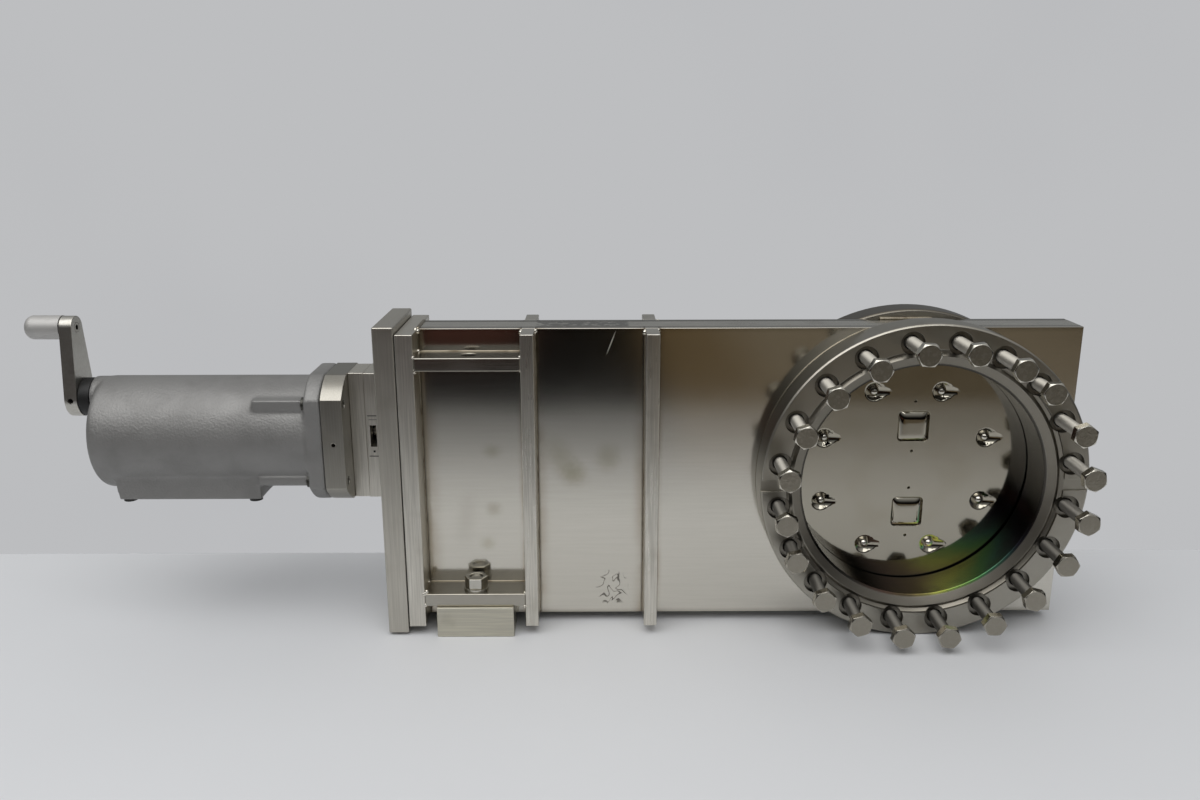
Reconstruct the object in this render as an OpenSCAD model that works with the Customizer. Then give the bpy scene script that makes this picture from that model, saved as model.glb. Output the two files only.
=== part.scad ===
// Vacuum gate valve with two bolted port flanges, a flat welded body and a hand crank.
// X runs along the valve: the ports are at the high end and the crank at the low end.
// Y runs through the ports, front to rear. Z is up, and the valve stands on its long edge.
// The origin is the centre of the rear port's sealing face.

/* [Port flanges] */
// Distance between the sealing faces of the two ports
face_to_face = 70; // [66:1:84]
// Outer diameter of a port flange
flange_od = 202.4; // [200:0.2:206]
// Chamfer on the flange rim
rim_chamfer = 1; // [0.4:0.1:1.5]
// Distance from the rim to the bolt circle
bolt_inset = 10.65; // [10.2:0.05:11.2]
// Distance from the rim to the wall of the gasket recess
recess_inset = 15.5; // [15.2:0.1:16.2]
// Depth of the gasket recess at its outer wall
recess_depth = 1.4; // [1:0.1:2]
// Distance from the recess wall in to the knife edge
knife_inset = 4.2; // [3.5:0.1:5]
// Width of the sloping mouth between the knife edge and the port bore
mouth_w = 6.5; // [5:0.1:8]
// Wall of the flange hub that passes through the body sheet
hub_wall = 7; // [5:0.5:8]
// Depth of the knife edge's tip below the flange face
knife_drop = 1.2; // [0.8:0.1:1.6]
// Depth of the root between the recess wall and the knife edge
root_depth = 2.9; // [2.2:0.1:3.2]
// Depth at which the sloping mouth meets the port bore
mouth_depth = 4.7; // [3.8:0.1:5.5]
// Diameter of a flange bolt hole
bolt_hole_d = 8.4; // [8.2:0.1:9]
// How much wider the bolt holes of the front flange are, round its loose bolts
loose_hole_extra = 0.6; // [0.4:0.1:1]
// Diameter of the counterbore round a bolt hole in the front flange
counterbore_d = 14.4; // [13:0.2:15]
// Depth of that counterbore
counterbore_depth = 3; // [1.5:0.5:5]
// Width of the leak check groove across a flange face
groove_w = 7; // [4:0.5:8]
// Depth of the leak check groove
groove_depth = 1.3; // [0.8:0.1:2]

/* [Flange bolts] */
// Diameter of a flange bolt
bolt_d = 8; // [7.6:0.1:8]
// Length of a flange bolt under its head
bolt_l = 36; // [30:1:37]
// Size of a bolt head across its flats
bolt_head_w = 13; // [12:0.5:13.5]
// Thickness of a bolt head
bolt_head_h = 5.3; // [4.5:0.1:6]
// How far the loosely turned in bolt heads stand off the flange face, at mid height
bolt_out_l = 30.3; // [29:0.1:31]
// How much further the top bolts stand out than that
bolt_lift_l = 2.7; // [0:0.1:3]
// How far the two bolts that were turned in further stand out
deep_out_l = 23; // [22:0.5:28]

/* [Body] */
// Thickness of the welded body
body_t = 27.7; // [26:0.1:32]
// Thickness of the body's front and rear sheets
sheet_t = 5; // [4:0.5:6]
// Width of the rails between the sheets
rail_w = 9; // [8:0.5:9.5]
// Clearance above and below the gate, inside the rails
gate_side_gap = 7; // [5.5:0.5:9]
// Clearance past the gate at the body's closed end
gate_end_gap = 8.3; // [6:0.1:10]
// Distance from the port axis to the body flange
body_back = 311.4; // [300:0.2:322]

/* [Ribs, bars and feet] */
// Thickness of a rib
rib_t = 8.1; // [6:0.1:10]
// Overall depth of the ribs and of the body flange, front to rear
rib_depth = 66.6; // [62:0.2:68]
// Distance from the port axis to the middle of the near rib
near_rib_x = 168.1; // [150:0.1:185]
// Distance from the port axis to the middle of the far rib
far_rib_x = 243.6; // [235:0.1:255]
// Thickness of the bars between the far rib and the body flange
bar_t = 8.3; // [6:0.1:10]
// Distance of a bar's outer face inside the body's long edge
bar_inset = 14.1; // [10:0.1:20]
// Diameter of the hole in the middle of a bar
bar_hole_d = 9; // [8.6:0.1:10]
// Length of a foot block along the valve
foot_l = 49; // [40:1:56]
// How far a foot block stands proud of the bar that holds it
foot_proud = 2.4; // [0:0.2:3]
// Diameter of the stud that holds a foot
stud_d = 8; // [6:0.5:8]
// Depth of the stud in the foot
stud_depth = 14; // [8:1:15]
// How far the stud's end lies inside the foot nut
stud_short = 1; // [0:0.2:2]
// Width of the foot nut across its flats
nut_w = 13; // [12:0.5:13]
// Thickness of the foot nut
nut_h = 6.8; // [6:0.1:8]
// Outer diameter of the washer under the foot nut
washer_d = 16; // [15:0.5:17]
// Thickness of the washer under the foot nut
washer_t = 1.6; // [1:0.1:2.5]

/* [Bonnet] */
// Thickness of the body flange
body_flange_t = 10.6; // [9:0.1:14]
// Thickness of the bonnet gasket
gasket_t = 0.6; // [0.4:0.1:1]
// How far the gasket's edge lies inside the body flange
gasket_inset = 1.2; // [0.5:0.1:2]
// Thickness of the bonnet plate
bonnet_t = 12.8; // [12:0.1:16]
// How far the bonnet plate stands proud of the body above and below
bonnet_proud = 4.5; // [2:0.5:5]
// Diameter of a bonnet screw
screw_d = 6; // [5:0.5:6]
// Diameter of a bonnet screw's head
screw_head_d = 10; // [9:0.5:10.5]
// Height of a bonnet screw's head
screw_head_h = 6; // [5:0.5:7]
// Distance from the body's long edge to the first bonnet screw
screw_end_inset = 10; // [9:0.5:16]
// Number of bonnet screws in each of the two rows
screw_rows = 6; // [4:1:6]
// Gap between a screw's end and the far side of what it is screwed into
screw_end_gap = 2; // [1.2:0.1:3]
// Distance of a row of bonnet screws from the mid plane
screw_y = 24; // [22:0.5:26]

/* [Actuator] */
// Height of the actuator's axis above the port axis
drive_z = 26.6; // [20:0.2:30]
// Height of the neck, adapter and casting flange
drive_h = 81; // [78:0.5:84]
// Depth of the adapter and casting flange, across their flats
adapter_depth = 66; // [62:1:72]
// How much wider the adapter's turned corners are than its height across the flats
corner_extra = 5.8; // [4:0.2:8]
// Thickness of the steel adapter plate
adapter_t = 13.1; // [10:0.1:16]
// Thickness of the casting's flange
casing_flange_t = 10.3; // [8:0.1:12]
// Length of the neck between the bonnet plate and the adapter
neck_l = 20.6; // [18:0.2:24]
// Length of the plain spacer in the neck
spacer_l = 9.5; // [7:0.5:10]
// How far the spacer's faces lie inside those of the neck block
spacer_inset = 0.8; // [0:0.1:1]
// Width of the position slot in the neck block
slot_w = 4; // [3:0.5:5]
// Height of the position slot
slot_h = 14; // [10:0.5:18]
// Distance of the slot from the bonnet plate
slot_x = 6.6; // [5:0.1:7]
// Diameter of the casing
casing_d = 71; // [68:0.5:73]
// Wall of the casing beyond the end of the stem's travel
casing_end_wall = 7.5; // [6:0.1:12]
// Rounding of the casing's closed end
casing_round = 4.5; // [1:0.5:5]
// Length of the four screw ribs on the casing
screw_rib_l = 30; // [20:1:40]
// Width of a screw rib
screw_rib_w = 6; // [5:0.5:8]
// Gap between a screw rib and the flange, where the screw head sits
screw_rib_gap = 2; // [1.8:0.1:2.5]
// Distance of a casing screw inside the adapter's front and rear flats
screw_side_inset = 6; // [5.5:0.1:7]
// Distance of a casing screw inside the adapter's top and bottom flats
screw_top_inset = 16; // [14:0.1:18]
// Diameter of a casing screw
casing_screw_d = 5; // [4:0.5:5]
// Diameter of a casing screw's head
casing_head_d = 8.6; // [8:0.2:9]
// Distance from the casing's closed end to the box under it
box_end_gap = 13.6; // [8:0.2:20]
// How far the box's crank end leans out between its underside and the casing's axis
box_slope = 5; // [2:0.5:8]
// Width of that box, front to rear
box_w = 56; // [50:1:60]
// Distance from the casting flange's face to the box
box_start = 31.4; // [28:0.2:34]
// Height of the box's underside below the casing's axis
box_drop = 36.7; // [36:0.1:40]
// Diameter of the pads under the box
pad_d = 8; // [6:0.5:10]
// Distance of a pad's edge inside the edge of the box
pad_inset = 1; // [0.5:0.5:6]
// Thickness of the pads under the box
pad_t = 1.6; // [1:0.1:2.5]
// Diameter of the purge hole in the adapter's front flat
purge_d = 2.2; // [1.5:0.1:3]
// Depth of the purge hole
purge_depth = 6; // [3:1:8]

/* [Crank] */
// Distance of the crank's axis inside the casing's outline
crank_inset = 12.7; // [11:0.1:14]
// Diameter of the crank hub
hub_disc_d = 24; // [22:0.5:25]
// Length of the crank hub between the casing boss and the arm
hub_disc_l = 7.1; // [6:0.1:12]
// How far the boss round the crank shaft stands off the casing's end
boss_h = 5; // [3:0.5:7]
// Diameter of that boss
boss_d = 26; // [24:0.5:28]
// Diameter of the crank shaft in the casing
shaft_d = 10; // [8:0.5:12]
// Length of the crank shaft inside the casing
shaft_l = 16; // [10:1:20]
// Diameter of the hub's spigot in the arm
spigot_d = 14; // [12:0.5:15]
// Distance between the crank's axis and the knob's axis
crank_r = 44.4; // [38:0.2:48]
// Thickness of the crank arm
arm_t = 8; // [6:0.1:9]
// Width of the arm at the hub
arm_hub_w = 24.8; // [24:0.2:27]
// Width of the arm at the knob
arm_knob_w = 14.4; // [12:0.2:16]
// Diameter of the knob
knob_d = 15; // [13:0.5:17]
// Length of the knob
knob_l = 22.5; // [20:0.1:28]
// Rounding of the knob's outer end
knob_round = 5; // [1:0.5:5.5]
// Diameter of the axle that the knob turns on
axle_d = 6; // [5:0.5:7]
// Depth of the axle in the knob
axle_depth = 15; // [12:0.5:16]
// Diameter of the set screw in the arm's edge
set_screw_d = 3; // [2.5:0.5:4]
// How far the set screw is sunk below the arm's edge
set_screw_sunk = 1; // [0.5:0.1:2]

/* [Gate] */
// How far the gate's discs overlap the port bore all round
gate_overlap = 4; // [3:0.5:6]
// Distance of a gate disc's face from the mid plane
gate_face = 4.1; // [4:0.1:5]
// Gap between a gate disc and the end of the flange hub that it closes
seat_gap = 0.9; // [0.5:0.1:1.5]
// Thickness of the web between the two gate discs
web_t = 1.2; // [0.8:0.1:1.6]
// How far the web stays inside the discs' edge
web_inset = 6; // [4:1:10]
// How far the gate slides when it opens
gate_travel = 156; // [154:1:158]
// Width of one of the eight ball cups in a gate disc
cup_w = 11.9; // [10:0.1:12.5]
// Length of a cup's tail
cup_tail = 11.4; // [8:0.2:13]
// Depth of a cup
cup_depth = 2.6; // [1.5:0.1:2.8]
// Distance of the ring of cups inside the port bore
cup_inset = 19; // [17:0.5:23]
// How far the ring of cups is shifted away from the body's closed end
cup_shift = 5; // [3:0.5:7]
// Side of one of the two square pockets in a gate disc
pocket_w = 20; // [16:0.5:22]
// Corner radius of a pocket
pocket_round = 3; // [1.5:0.5:5]
// Depth of a pocket
pocket_depth = 2.4; // [1.5:0.1:2.8]
// Height of a pocket above or below the port axis
pocket_z = 29; // [26:0.5:32]
// Diameter of the vent holes in a gate disc
vent_d = 1.6; // [1:0.1:2.5]
// Distance of a vent hole from the middle of its pocket
vent_offset = 16.5; // [14:0.5:18]
// Diameter of the stem that moves the gate
stem_d = 8; // [7:0.5:8]
// Length of the carriage between the discs and the stem
tail_l = 26; // [20:1:32]
// Height of the carriage tail
tail_h = 84; // [70:1:90]
// How far the stem reaches past the position slot
stem_past_slot = 4; // [2:0.5:6]

/* [Clearances] */
// Radial clearance of a shaft or stem that moves in its bore
running = 0.05; // [0.02:0.01:0.09]
// Radial clearance of a screw, stud, spigot or hub in its hole
fit_gap = 0.2; // [0.1:0.05:0.3]
// Gap between two faces that turn past each other
face_gap = 0.3; // [0.2:0.1:0.8]
// Clearance round the stem inside the neck and the casing
stem_space = 3; // [2:0.5:4]

/* [Hidden] */
$fn = 96;

BOLT_COUNT = 20;
CUP_COUNT = 8;
DEEP_BOLTS = [2, 11];
EPS = 0.05;
OVER = 1;
// Sizes that follow from one another, outwards in: the flange, the port, the gate and the body
bolt_circle_d = flange_od - 2 * bolt_inset;
recess_d = flange_od - 2 * recess_inset;
knife_d = recess_d - 2 * knife_inset;
port_d = knife_d - 2 * mouth_w;
hub_d = port_d + 2 * hub_wall;
gate_d = port_d + 2 * gate_overlap;
cup_ring_r = port_d / 2 - cup_inset;
body_h = gate_d + 2 * gate_side_gap + 2 * rail_w;
body_reach = gate_d / 2 + gate_end_gap + rail_w;
bonnet_h = body_h + 2 * bonnet_proud;
adapter_d = drive_h + corner_extra;
screw_pitch = (body_h - 2 * screw_end_inset) / (screw_rows - 1);
bar_z = body_h / 2 - bar_inset - bar_t;
half_t = body_t / 2;
inner_t = half_t - sheet_t;
half_depth = rib_depth / 2;
face = face_to_face / 2;
ground_z = -flange_od / 2;
foot_x = -(body_back + far_rib_x + rib_t / 2) / 2;
foot_y = (half_t + half_depth) / 2;
hole_span = BOLT_COUNT > 0 ? 360 / BOLT_COUNT : 360;
// Places along X, from the ports to the crank
body_x = -body_back;
body_flange_x = body_x - body_flange_t;
gasket_x = body_flange_x - gasket_t;
bonnet_x = gasket_x - bonnet_t;
spacer_x = bonnet_x - neck_l + spacer_l;
neck_x = bonnet_x - neck_l;
adapter_x = neck_x - adapter_t;
casing_x = adapter_x - casing_flange_t;
stem_start_x = -(gate_d + tail_l) / 2;
stem_end_x = bonnet_x - slot_x - slot_w / 2 - stem_past_slot;
stem_bore_end_x = stem_end_x - gate_travel - stem_space / 2;
casing_end_x = stem_bore_end_x - casing_end_wall;
casing_l = casing_x - casing_end_x;
boss_x = casing_end_x - boss_h;
hub_x = boss_x - face_gap - hub_disc_l;
knob_x = hub_x - arm_t;
box_x = casing_end_x + box_end_gap;
box_l = casing_x - box_start - box_x;
crank_z = drive_z + casing_d / 2 - crank_inset;
knob_z = crank_z + crank_r;
screw_out_y = adapter_depth / 2 - screw_side_inset;
screw_out_z = drive_h / 2 - screw_top_inset;
stem_bore_d = stem_d + 2 * stem_space;
// A cup is cut by a ball whose centre lies in front of the disc
cup_r = (cup_w * cup_w / 4 + cup_depth * cup_depth) / (2 * cup_depth);
cup_lift = cup_r - cup_depth;

// Carries a shape from the body's mid plane to the part's own origin
module at_mid_plane() {
    translate([0, -face, 0]) children();
}

// Turns a shape made along Z to run along X, from the given point
module along_x(x, y, z) {
    translate([x, y, z]) rotate([0, 90, 0]) children();
}

// Turns a shape made along Z to run outwards from the mid plane: -1 is the front, 1 the rear
module outwards(side) {
    rotate([-90 * side, 0, 0]) children();
}

// A block from the mid plane's side: reaches from depth y0 to depth y1 on that side
module side_block(side, x0, x1, y0, y1, z0, z1) {
    translate([x0, side > 0 ? y0 : -y1, z0]) cube([x1 - x0, y1 - y0, z1 - z0]);
}

// Half section of a rod whose first end has a rounded edge, to be turned round its axis
module rounded_rod_profile(d, l, round_r) {
    translate([0, round_r]) square([d / 2, l - round_r]);
    square([d / 2 - round_r, l]);
    intersection() {
        translate([d / 2 - round_r, round_r]) circle(r = round_r);
        square([d / 2, l]);
    }
}

module hexagon(width, height) {
    cylinder(d = width / cos(30), h = height, $fn = 6);
}

// ---- Welded body ----

module body_sheet(side) {
    difference() {
        side_block(side, body_x, body_reach, inner_t, half_t, -body_h / 2, body_h / 2);
        outwards(side) translate([0, 0, inner_t - OVER])
            cylinder(d = hub_d + 2 * fit_gap, h = sheet_t + 2 * OVER);
    }
}

module front_plate() {
    color("#9a9992") at_mid_plane() body_sheet(-1);
}

module rear_plate() {
    color("#9a9992") at_mid_plane() body_sheet(1);
}

module long_rail(z0) {
    translate([body_x, -inner_t, z0]) cube([body_back + body_reach, 2 * inner_t, rail_w]);
}

module top_rail() {
    color("#b4b4b0") at_mid_plane() long_rail(body_h / 2 - rail_w);
}

module bottom_rail() {
    color("#b4b4b0") at_mid_plane() long_rail(-body_h / 2);
}

module end_rail() {
    rail_h = body_h - 2 * rail_w;
    color("#b4b4b0") at_mid_plane()
        translate([body_reach - rail_w, -inner_t, -rail_h / 2]) cube([rail_w, 2 * inner_t, rail_h]);
}

// ---- Port flanges and their bolts ----

function bolt_angle(i) = hole_span * (i + 0.5);
function is_deep(i) = i == DEEP_BOLTS[0] || i == DEEP_BOLTS[1];
function stand_off(i) =
    is_deep(i) ? deep_out_l : bolt_out_l + bolt_lift_l * sin(bolt_angle(i));

module flange_profile() {
    polygon([
        [port_d / 2, gate_face + seat_gap],
        [hub_d / 2, gate_face + seat_gap],
        [hub_d / 2, half_t],
        [flange_od / 2 - rim_chamfer, half_t],
        [flange_od / 2, half_t + rim_chamfer],
        [flange_od / 2, face - rim_chamfer],
        [flange_od / 2 - rim_chamfer, face],
        [recess_d / 2, face],
        [recess_d / 2, face - recess_depth],
        [(knife_d + recess_d) / 4, face - root_depth],
        [knife_d / 2, face - knife_drop],
        [port_d / 2, face - mouth_depth]
    ]);
}

module port_flange(side) {
    outwards(side) difference() {
        rotate_extrude() flange_profile();
        for (i = [0 : BOLT_COUNT - 1]) rotate(bolt_angle(i)) translate([bolt_circle_d / 2, 0, 0]) {
            translate([0, 0, half_t - OVER])
                cylinder(d = bolt_hole_d + (side < 0 ? loose_hole_extra : 0), h = face);
            if (side < 0) translate([0, 0, face - counterbore_depth]) cylinder(d = counterbore_d, h = face);
        }
        for (end = [-1, 1]) translate([end * (flange_od - recess_inset) / 2, 0, face - groove_depth / 2])
            cube([recess_inset + 2 * OVER, groove_w, groove_depth + EPS], center = true);
    }
}

module front_flange() {
    color("#a9a79f") at_mid_plane() port_flange(-1);
}

module rear_flange() {
    color("#a9a79f") at_mid_plane() port_flange(1);
}

module flange_bolt() {
    translate([0, 0, -bolt_head_h]) hexagon(bolt_head_w, bolt_head_h);
    translate([0, 0, -bolt_head_h - bolt_l]) cylinder(d = bolt_d, h = bolt_l + EPS);
}

module flange_bolts() {
    color("#a4a29c") at_mid_plane() outwards(-1)
        for (i = [0 : BOLT_COUNT - 1]) rotate(bolt_angle(i))
            translate([bolt_circle_d / 2, 0, face + stand_off(i)]) flange_bolt();
}

// ---- Ribs, bars and feet ----

module ribs(side) {
    for (x = [near_rib_x, far_rib_x])
        side_block(side, -x - rib_t / 2, -x + rib_t / 2, half_t, half_depth, -body_h / 2, body_h / 2);
}

module front_ribs() {
    color("#b2b0a9") at_mid_plane() ribs(-1);
}

module rear_ribs() {
    color("#b2b0a9") at_mid_plane() ribs(1);
}

module bar(side, level) {
    low = level > 0 ? bar_z : -bar_z - bar_t;
    difference() {
        side_block(side, body_x, -far_rib_x - rib_t / 2, half_t, half_depth, low, low + bar_t);
        translate([foot_x, side * foot_y, low - OVER]) cylinder(d = bar_hole_d, h = bar_t + 2 * OVER);
    }
}

module front_top_bar() {
    color("#b0aea8") at_mid_plane() bar(-1, 1);
}

module front_bottom_bar() {
    color("#b0aea8") at_mid_plane() bar(-1, -1);
}

module rear_top_bar() {
    color("#b0aea8") at_mid_plane() bar(1, 1);
}

module rear_bottom_bar() {
    color("#b0aea8") at_mid_plane() bar(1, -1);
}

module foot(side) {
    top_z = -bar_z - bar_t;
    difference() {
        side_block(side, foot_x - foot_l / 2, foot_x + foot_l / 2,
            half_t, half_depth + foot_proud, ground_z, top_z);
        translate([foot_x, side * foot_y, top_z - stud_depth])
            cylinder(d = stud_d + 2 * fit_gap, h = stud_depth + OVER);
    }
}

module front_foot() {
    color("#a8a596") at_mid_plane() foot(-1);
}

module rear_foot() {
    color("#a8a596") at_mid_plane() foot(1);
}

// Runs its children once for the front foot and once for the rear one
module at_each_foot(z) {
    for (side = [-1, 1]) translate([foot_x, side * foot_y, z]) children();
}

module foot_studs() {
    stud_top = -bar_z + washer_t + nut_h - stud_short;
    stud_base = -bar_z - bar_t - stud_depth;
    color("#8d8b84") at_mid_plane() at_each_foot(stud_base) cylinder(d = stud_d, h = stud_top - stud_base);
}

module foot_washers() {
    color("#b8b6ae") at_mid_plane() at_each_foot(-bar_z) difference() {
        cylinder(d = washer_d, h = washer_t);
        translate([0, 0, -OVER]) cylinder(d = stud_d + 2 * fit_gap, h = washer_t + 2 * OVER);
    }
}

module foot_nuts() {
    color("#b8b6ae") at_mid_plane() at_each_foot(-bar_z + washer_t) difference() {
        hexagon(nut_w, nut_h);
        translate([0, 0, -OVER]) cylinder(d = stud_d + 2 * fit_gap, h = nut_h + 2 * OVER);
    }
}

// ---- Bonnet ----

// Runs its children at every bonnet screw, turned to run towards the ports
module at_bonnet_screws(x) {
    for (side = [-1, 1]) for (row = [0 : screw_rows - 1])
        along_x(x, side * screw_y, (row - (screw_rows - 1) / 2) * screw_pitch) children();
}

module body_flange() {
    window_h = body_h - 2 * rail_w;
    color("#a8a69f") at_mid_plane() difference() {
        translate([body_flange_x, -half_depth, -body_h / 2]) cube([body_flange_t, rib_depth, body_h]);
        translate([body_flange_x - OVER, -inner_t, -window_h / 2])
            cube([body_flange_t + 2 * OVER, 2 * inner_t, window_h]);
        at_bonnet_screws(body_flange_x - OVER) cylinder(d = screw_d + 2 * fit_gap, h = body_flange_t);
    }
}

module bonnet_gasket() {
    seal_h = body_h - 2 * gasket_inset;
    seal_depth = rib_depth - 2 * gasket_inset;
    color("#3c3b38") at_mid_plane() difference() {
        translate([gasket_x, -seal_depth / 2, -seal_h / 2]) cube([gasket_t, seal_depth, seal_h]);
        along_x(gasket_x - OVER, 0, drive_z) cylinder(d = stem_bore_d, h = gasket_t + 2 * OVER);
        at_bonnet_screws(gasket_x - OVER) cylinder(d = screw_d + 2 * fit_gap, h = gasket_t + 2 * OVER);
    }
}

module bonnet_plate() {
    color("#a6a5a0") at_mid_plane() difference() {
        translate([bonnet_x, -rib_depth / 2, -bonnet_h / 2]) cube([bonnet_t, rib_depth, bonnet_h]);
        along_x(bonnet_x - OVER, 0, drive_z) cylinder(d = stem_d + 2 * running, h = bonnet_t + 2 * OVER);
        at_bonnet_screws(bonnet_x - OVER) {
            cylinder(d = screw_d + 2 * fit_gap, h = bonnet_t + 2 * OVER);
            cylinder(d = screw_head_d + 2 * fit_gap, h = screw_head_h + OVER);
        }
    }
}

module cap_screw(head_d, head_h, d, l) {
    difference() {
        union() {
            cylinder(d = head_d, h = head_h);
            cylinder(d = d, h = head_h + l);
        }
        translate([0, 0, -EPS]) hexagon(head_d / 2, head_h / 2);
    }
}

module bonnet_screws() {
    screw_l = bonnet_t + gasket_t + body_flange_t - screw_head_h - screw_end_gap;
    color("#7d7c78") at_mid_plane()
        at_bonnet_screws(bonnet_x) cap_screw(screw_head_d, screw_head_h, screw_d, screw_l);
}

// ---- Neck, adapter and casing ----

module neck_slab(x, l, inset) {
    translate([x, -half_t + inset, drive_z - drive_h / 2]) cube([l, body_t - 2 * inset, drive_h]);
}

module stem_bore(x0, x1) {
    along_x(x0 - OVER, 0, drive_z) cylinder(d = stem_bore_d, h = x1 - x0 + 2 * OVER);
}

module neck_block() {
    color("#a3a29c") at_mid_plane() difference() {
        neck_slab(spacer_x, neck_l - spacer_l, 0);
        stem_bore(spacer_x, bonnet_x);
        translate([bonnet_x - slot_x - slot_w / 2, -half_t - OVER, drive_z - slot_h / 2])
            cube([slot_w, half_t + OVER, slot_h]);
    }
}

module neck_spacer() {
    color("#98978f") at_mid_plane() difference() {
        neck_slab(neck_x, spacer_l, spacer_inset);
        stem_bore(neck_x, spacer_x);
    }
}

// The outline that the adapter and the casting flange share: a turned disc with four flats
module flatted_disc(x, t) {
    intersection() {
        along_x(x, 0, drive_z) cylinder(d = adapter_d, h = t);
        translate([x, -adapter_depth / 2, drive_z - drive_h / 2]) cube([t, adapter_depth, drive_h]);
    }
}

// Runs its children at the four casing screws, turned to run towards the ports
module at_casing_screws(x) {
    for (side = [-1, 1]) for (level = [-1, 1])
        along_x(x, side * screw_out_y, drive_z + level * screw_out_z) children();
}

module adapter_plate() {
    color("#8f8c84") at_mid_plane() difference() {
        flatted_disc(adapter_x, adapter_t);
        stem_bore(adapter_x, neck_x);
        at_casing_screws(adapter_x - OVER)
            cylinder(d = casing_screw_d + 2 * fit_gap, h = adapter_t + 2 * OVER);
        translate([(adapter_x + neck_x) / 2, -adapter_depth / 2 - OVER, drive_z]) rotate([-90, 0, 0])
            cylinder(d = purge_d, h = purge_depth + OVER);
    }
}

module casing_barrel() {
    along_x(casing_end_x, 0, drive_z) rotate_extrude()
        rounded_rod_profile(casing_d, casing_l + EPS, casing_round);
}

module screw_ribs() {
    rib_end = screw_out_y + screw_rib_w / 2;
    for (side = [-1, 1]) for (level = [-1, 1])
        translate([casing_x - screw_rib_gap - screw_rib_l,
            side > 0 ? 0 : -rib_end,
            drive_z + level * screw_out_z - screw_rib_w / 2])
            cube([screw_rib_l, rib_end, screw_rib_w]);
}

// The box under the casing, with a cast slope at its crank end
module casing_box() {
    translate([box_x, box_w / 2, drive_z]) rotate([90, 0, 0]) linear_extrude(box_w)
        polygon([[0, -box_drop], [box_l, -box_drop], [box_l, 0], [-box_slope, 0]]);
}

module actuator_casing() {
    color("#b3b3b3") at_mid_plane() difference() {
        union() {
            casing_barrel();
            flatted_disc(casing_x, casing_flange_t);
            screw_ribs();
            casing_box();
            along_x(boss_x, 0, crank_z) cylinder(d = boss_d, h = boss_h + casing_round);
        }
        along_x(stem_bore_end_x, 0, drive_z)
            cylinder(d = stem_bore_d, h = adapter_x - stem_bore_end_x + OVER);
        along_x(boss_x - OVER, 0, crank_z) cylinder(d = shaft_d + 2 * running, h = shaft_l + 2 * OVER);
        at_casing_screws(casing_x - screw_rib_gap) {
            cylinder(d = casing_head_d + 2 * fit_gap, h = screw_rib_gap);
            cylinder(d = casing_screw_d + 2 * fit_gap, h = screw_rib_gap + casing_flange_t + OVER);
        }
    }
}

module casing_screws() {
    head_h = screw_rib_gap - fit_gap;
    color("#5b5a57") at_mid_plane() at_casing_screws(casing_x - head_h)
        cap_screw(casing_head_d, head_h, casing_screw_d, casing_flange_t + adapter_t - screw_end_gap);
}

module casing_pads() {
    inset = pad_d / 2 + pad_inset;
    color("#6f6f6e") at_mid_plane()
        for (x = [box_x + inset, box_x + box_l - inset]) for (side = [-1, 1])
            translate([x, side * (box_w / 2 - inset), drive_z - box_drop - pad_t])
                cylinder(d = pad_d, h = pad_t);
}

// ---- Crank ----

module crank_hub() {
    color("#1c1c1c") at_mid_plane() {
        along_x(hub_x, 0, crank_z) cylinder(d = hub_disc_d, h = hub_disc_l);
        along_x(hub_x, 0, crank_z) cylinder(d = shaft_d, h = hub_disc_l + face_gap + shaft_l);
        along_x(hub_x - arm_t, 0, crank_z) cylinder(d = spigot_d, h = arm_t + EPS);
    }
}

// Outline of the arm in the plane of its face: two round ends and their common tangents
module arm_outline() {
    r_hub = arm_hub_w / 2 - EPS;
    r_knob = arm_knob_w / 2 - EPS;
    lean = asin((r_hub - r_knob) / crank_r);
    circle(d = arm_hub_w);
    translate([crank_r, 0]) circle(d = arm_knob_w);
    polygon([
        [r_hub * sin(lean), -r_hub * cos(lean)],
        [crank_r + r_knob * sin(lean), -r_knob * cos(lean)],
        [crank_r + r_knob * sin(lean), r_knob * cos(lean)],
        [r_hub * sin(lean), r_hub * cos(lean)]
    ]);
}

module crank_arm() {
    color("#b9b8b2") at_mid_plane() difference() {
        along_x(knob_x, 0, crank_z) rotate(180) linear_extrude(arm_t) arm_outline();
        along_x(knob_x - OVER, 0, crank_z) cylinder(d = spigot_d + 2 * fit_gap, h = arm_t + 2 * OVER);
        along_x(knob_x - OVER, 0, knob_z) cylinder(d = axle_d + 2 * fit_gap, h = arm_t + 2 * OVER);
        translate([knob_x + arm_t / 2, -arm_hub_w / 2 - OVER, crank_z]) rotate([-90, 0, 0])
            cylinder(d = set_screw_d + 2 * fit_gap, h = (arm_hub_w - spigot_d) / 2 + OVER);
    }
}

module crank_set_screw() {
    screw_l = (arm_hub_w - spigot_d) / 2 - set_screw_sunk;
    color("#2c2b29") at_mid_plane()
        translate([knob_x + arm_t / 2, -spigot_d / 2 - screw_l, crank_z]) rotate([-90, 0, 0]) difference() {
            cylinder(d = set_screw_d, h = screw_l);
            translate([0, 0, -EPS]) hexagon(set_screw_d / 2, screw_l / 2);
        }
}

module knob_axle() {
    color("#6b6a66") at_mid_plane() along_x(knob_x - axle_depth, 0, knob_z) difference() {
        cylinder(d = axle_d, h = axle_depth + arm_t);
        translate([0, 0, axle_depth + arm_t / 2]) hexagon(axle_d / 2, arm_t / 2 + EPS);
    }
}

module crank_knob() {
    knob_start = knob_x - face_gap - knob_l;
    color("#a7a7a5") at_mid_plane() along_x(knob_start, 0, knob_z) difference() {
        rotate_extrude() rounded_rod_profile(knob_d, knob_l, knob_round);
        translate([0, 0, knob_l - axle_depth - OVER])
            cylinder(d = axle_d + 2 * running, h = axle_depth + 2 * OVER);
    }
}

// ---- Gate ----

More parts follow.
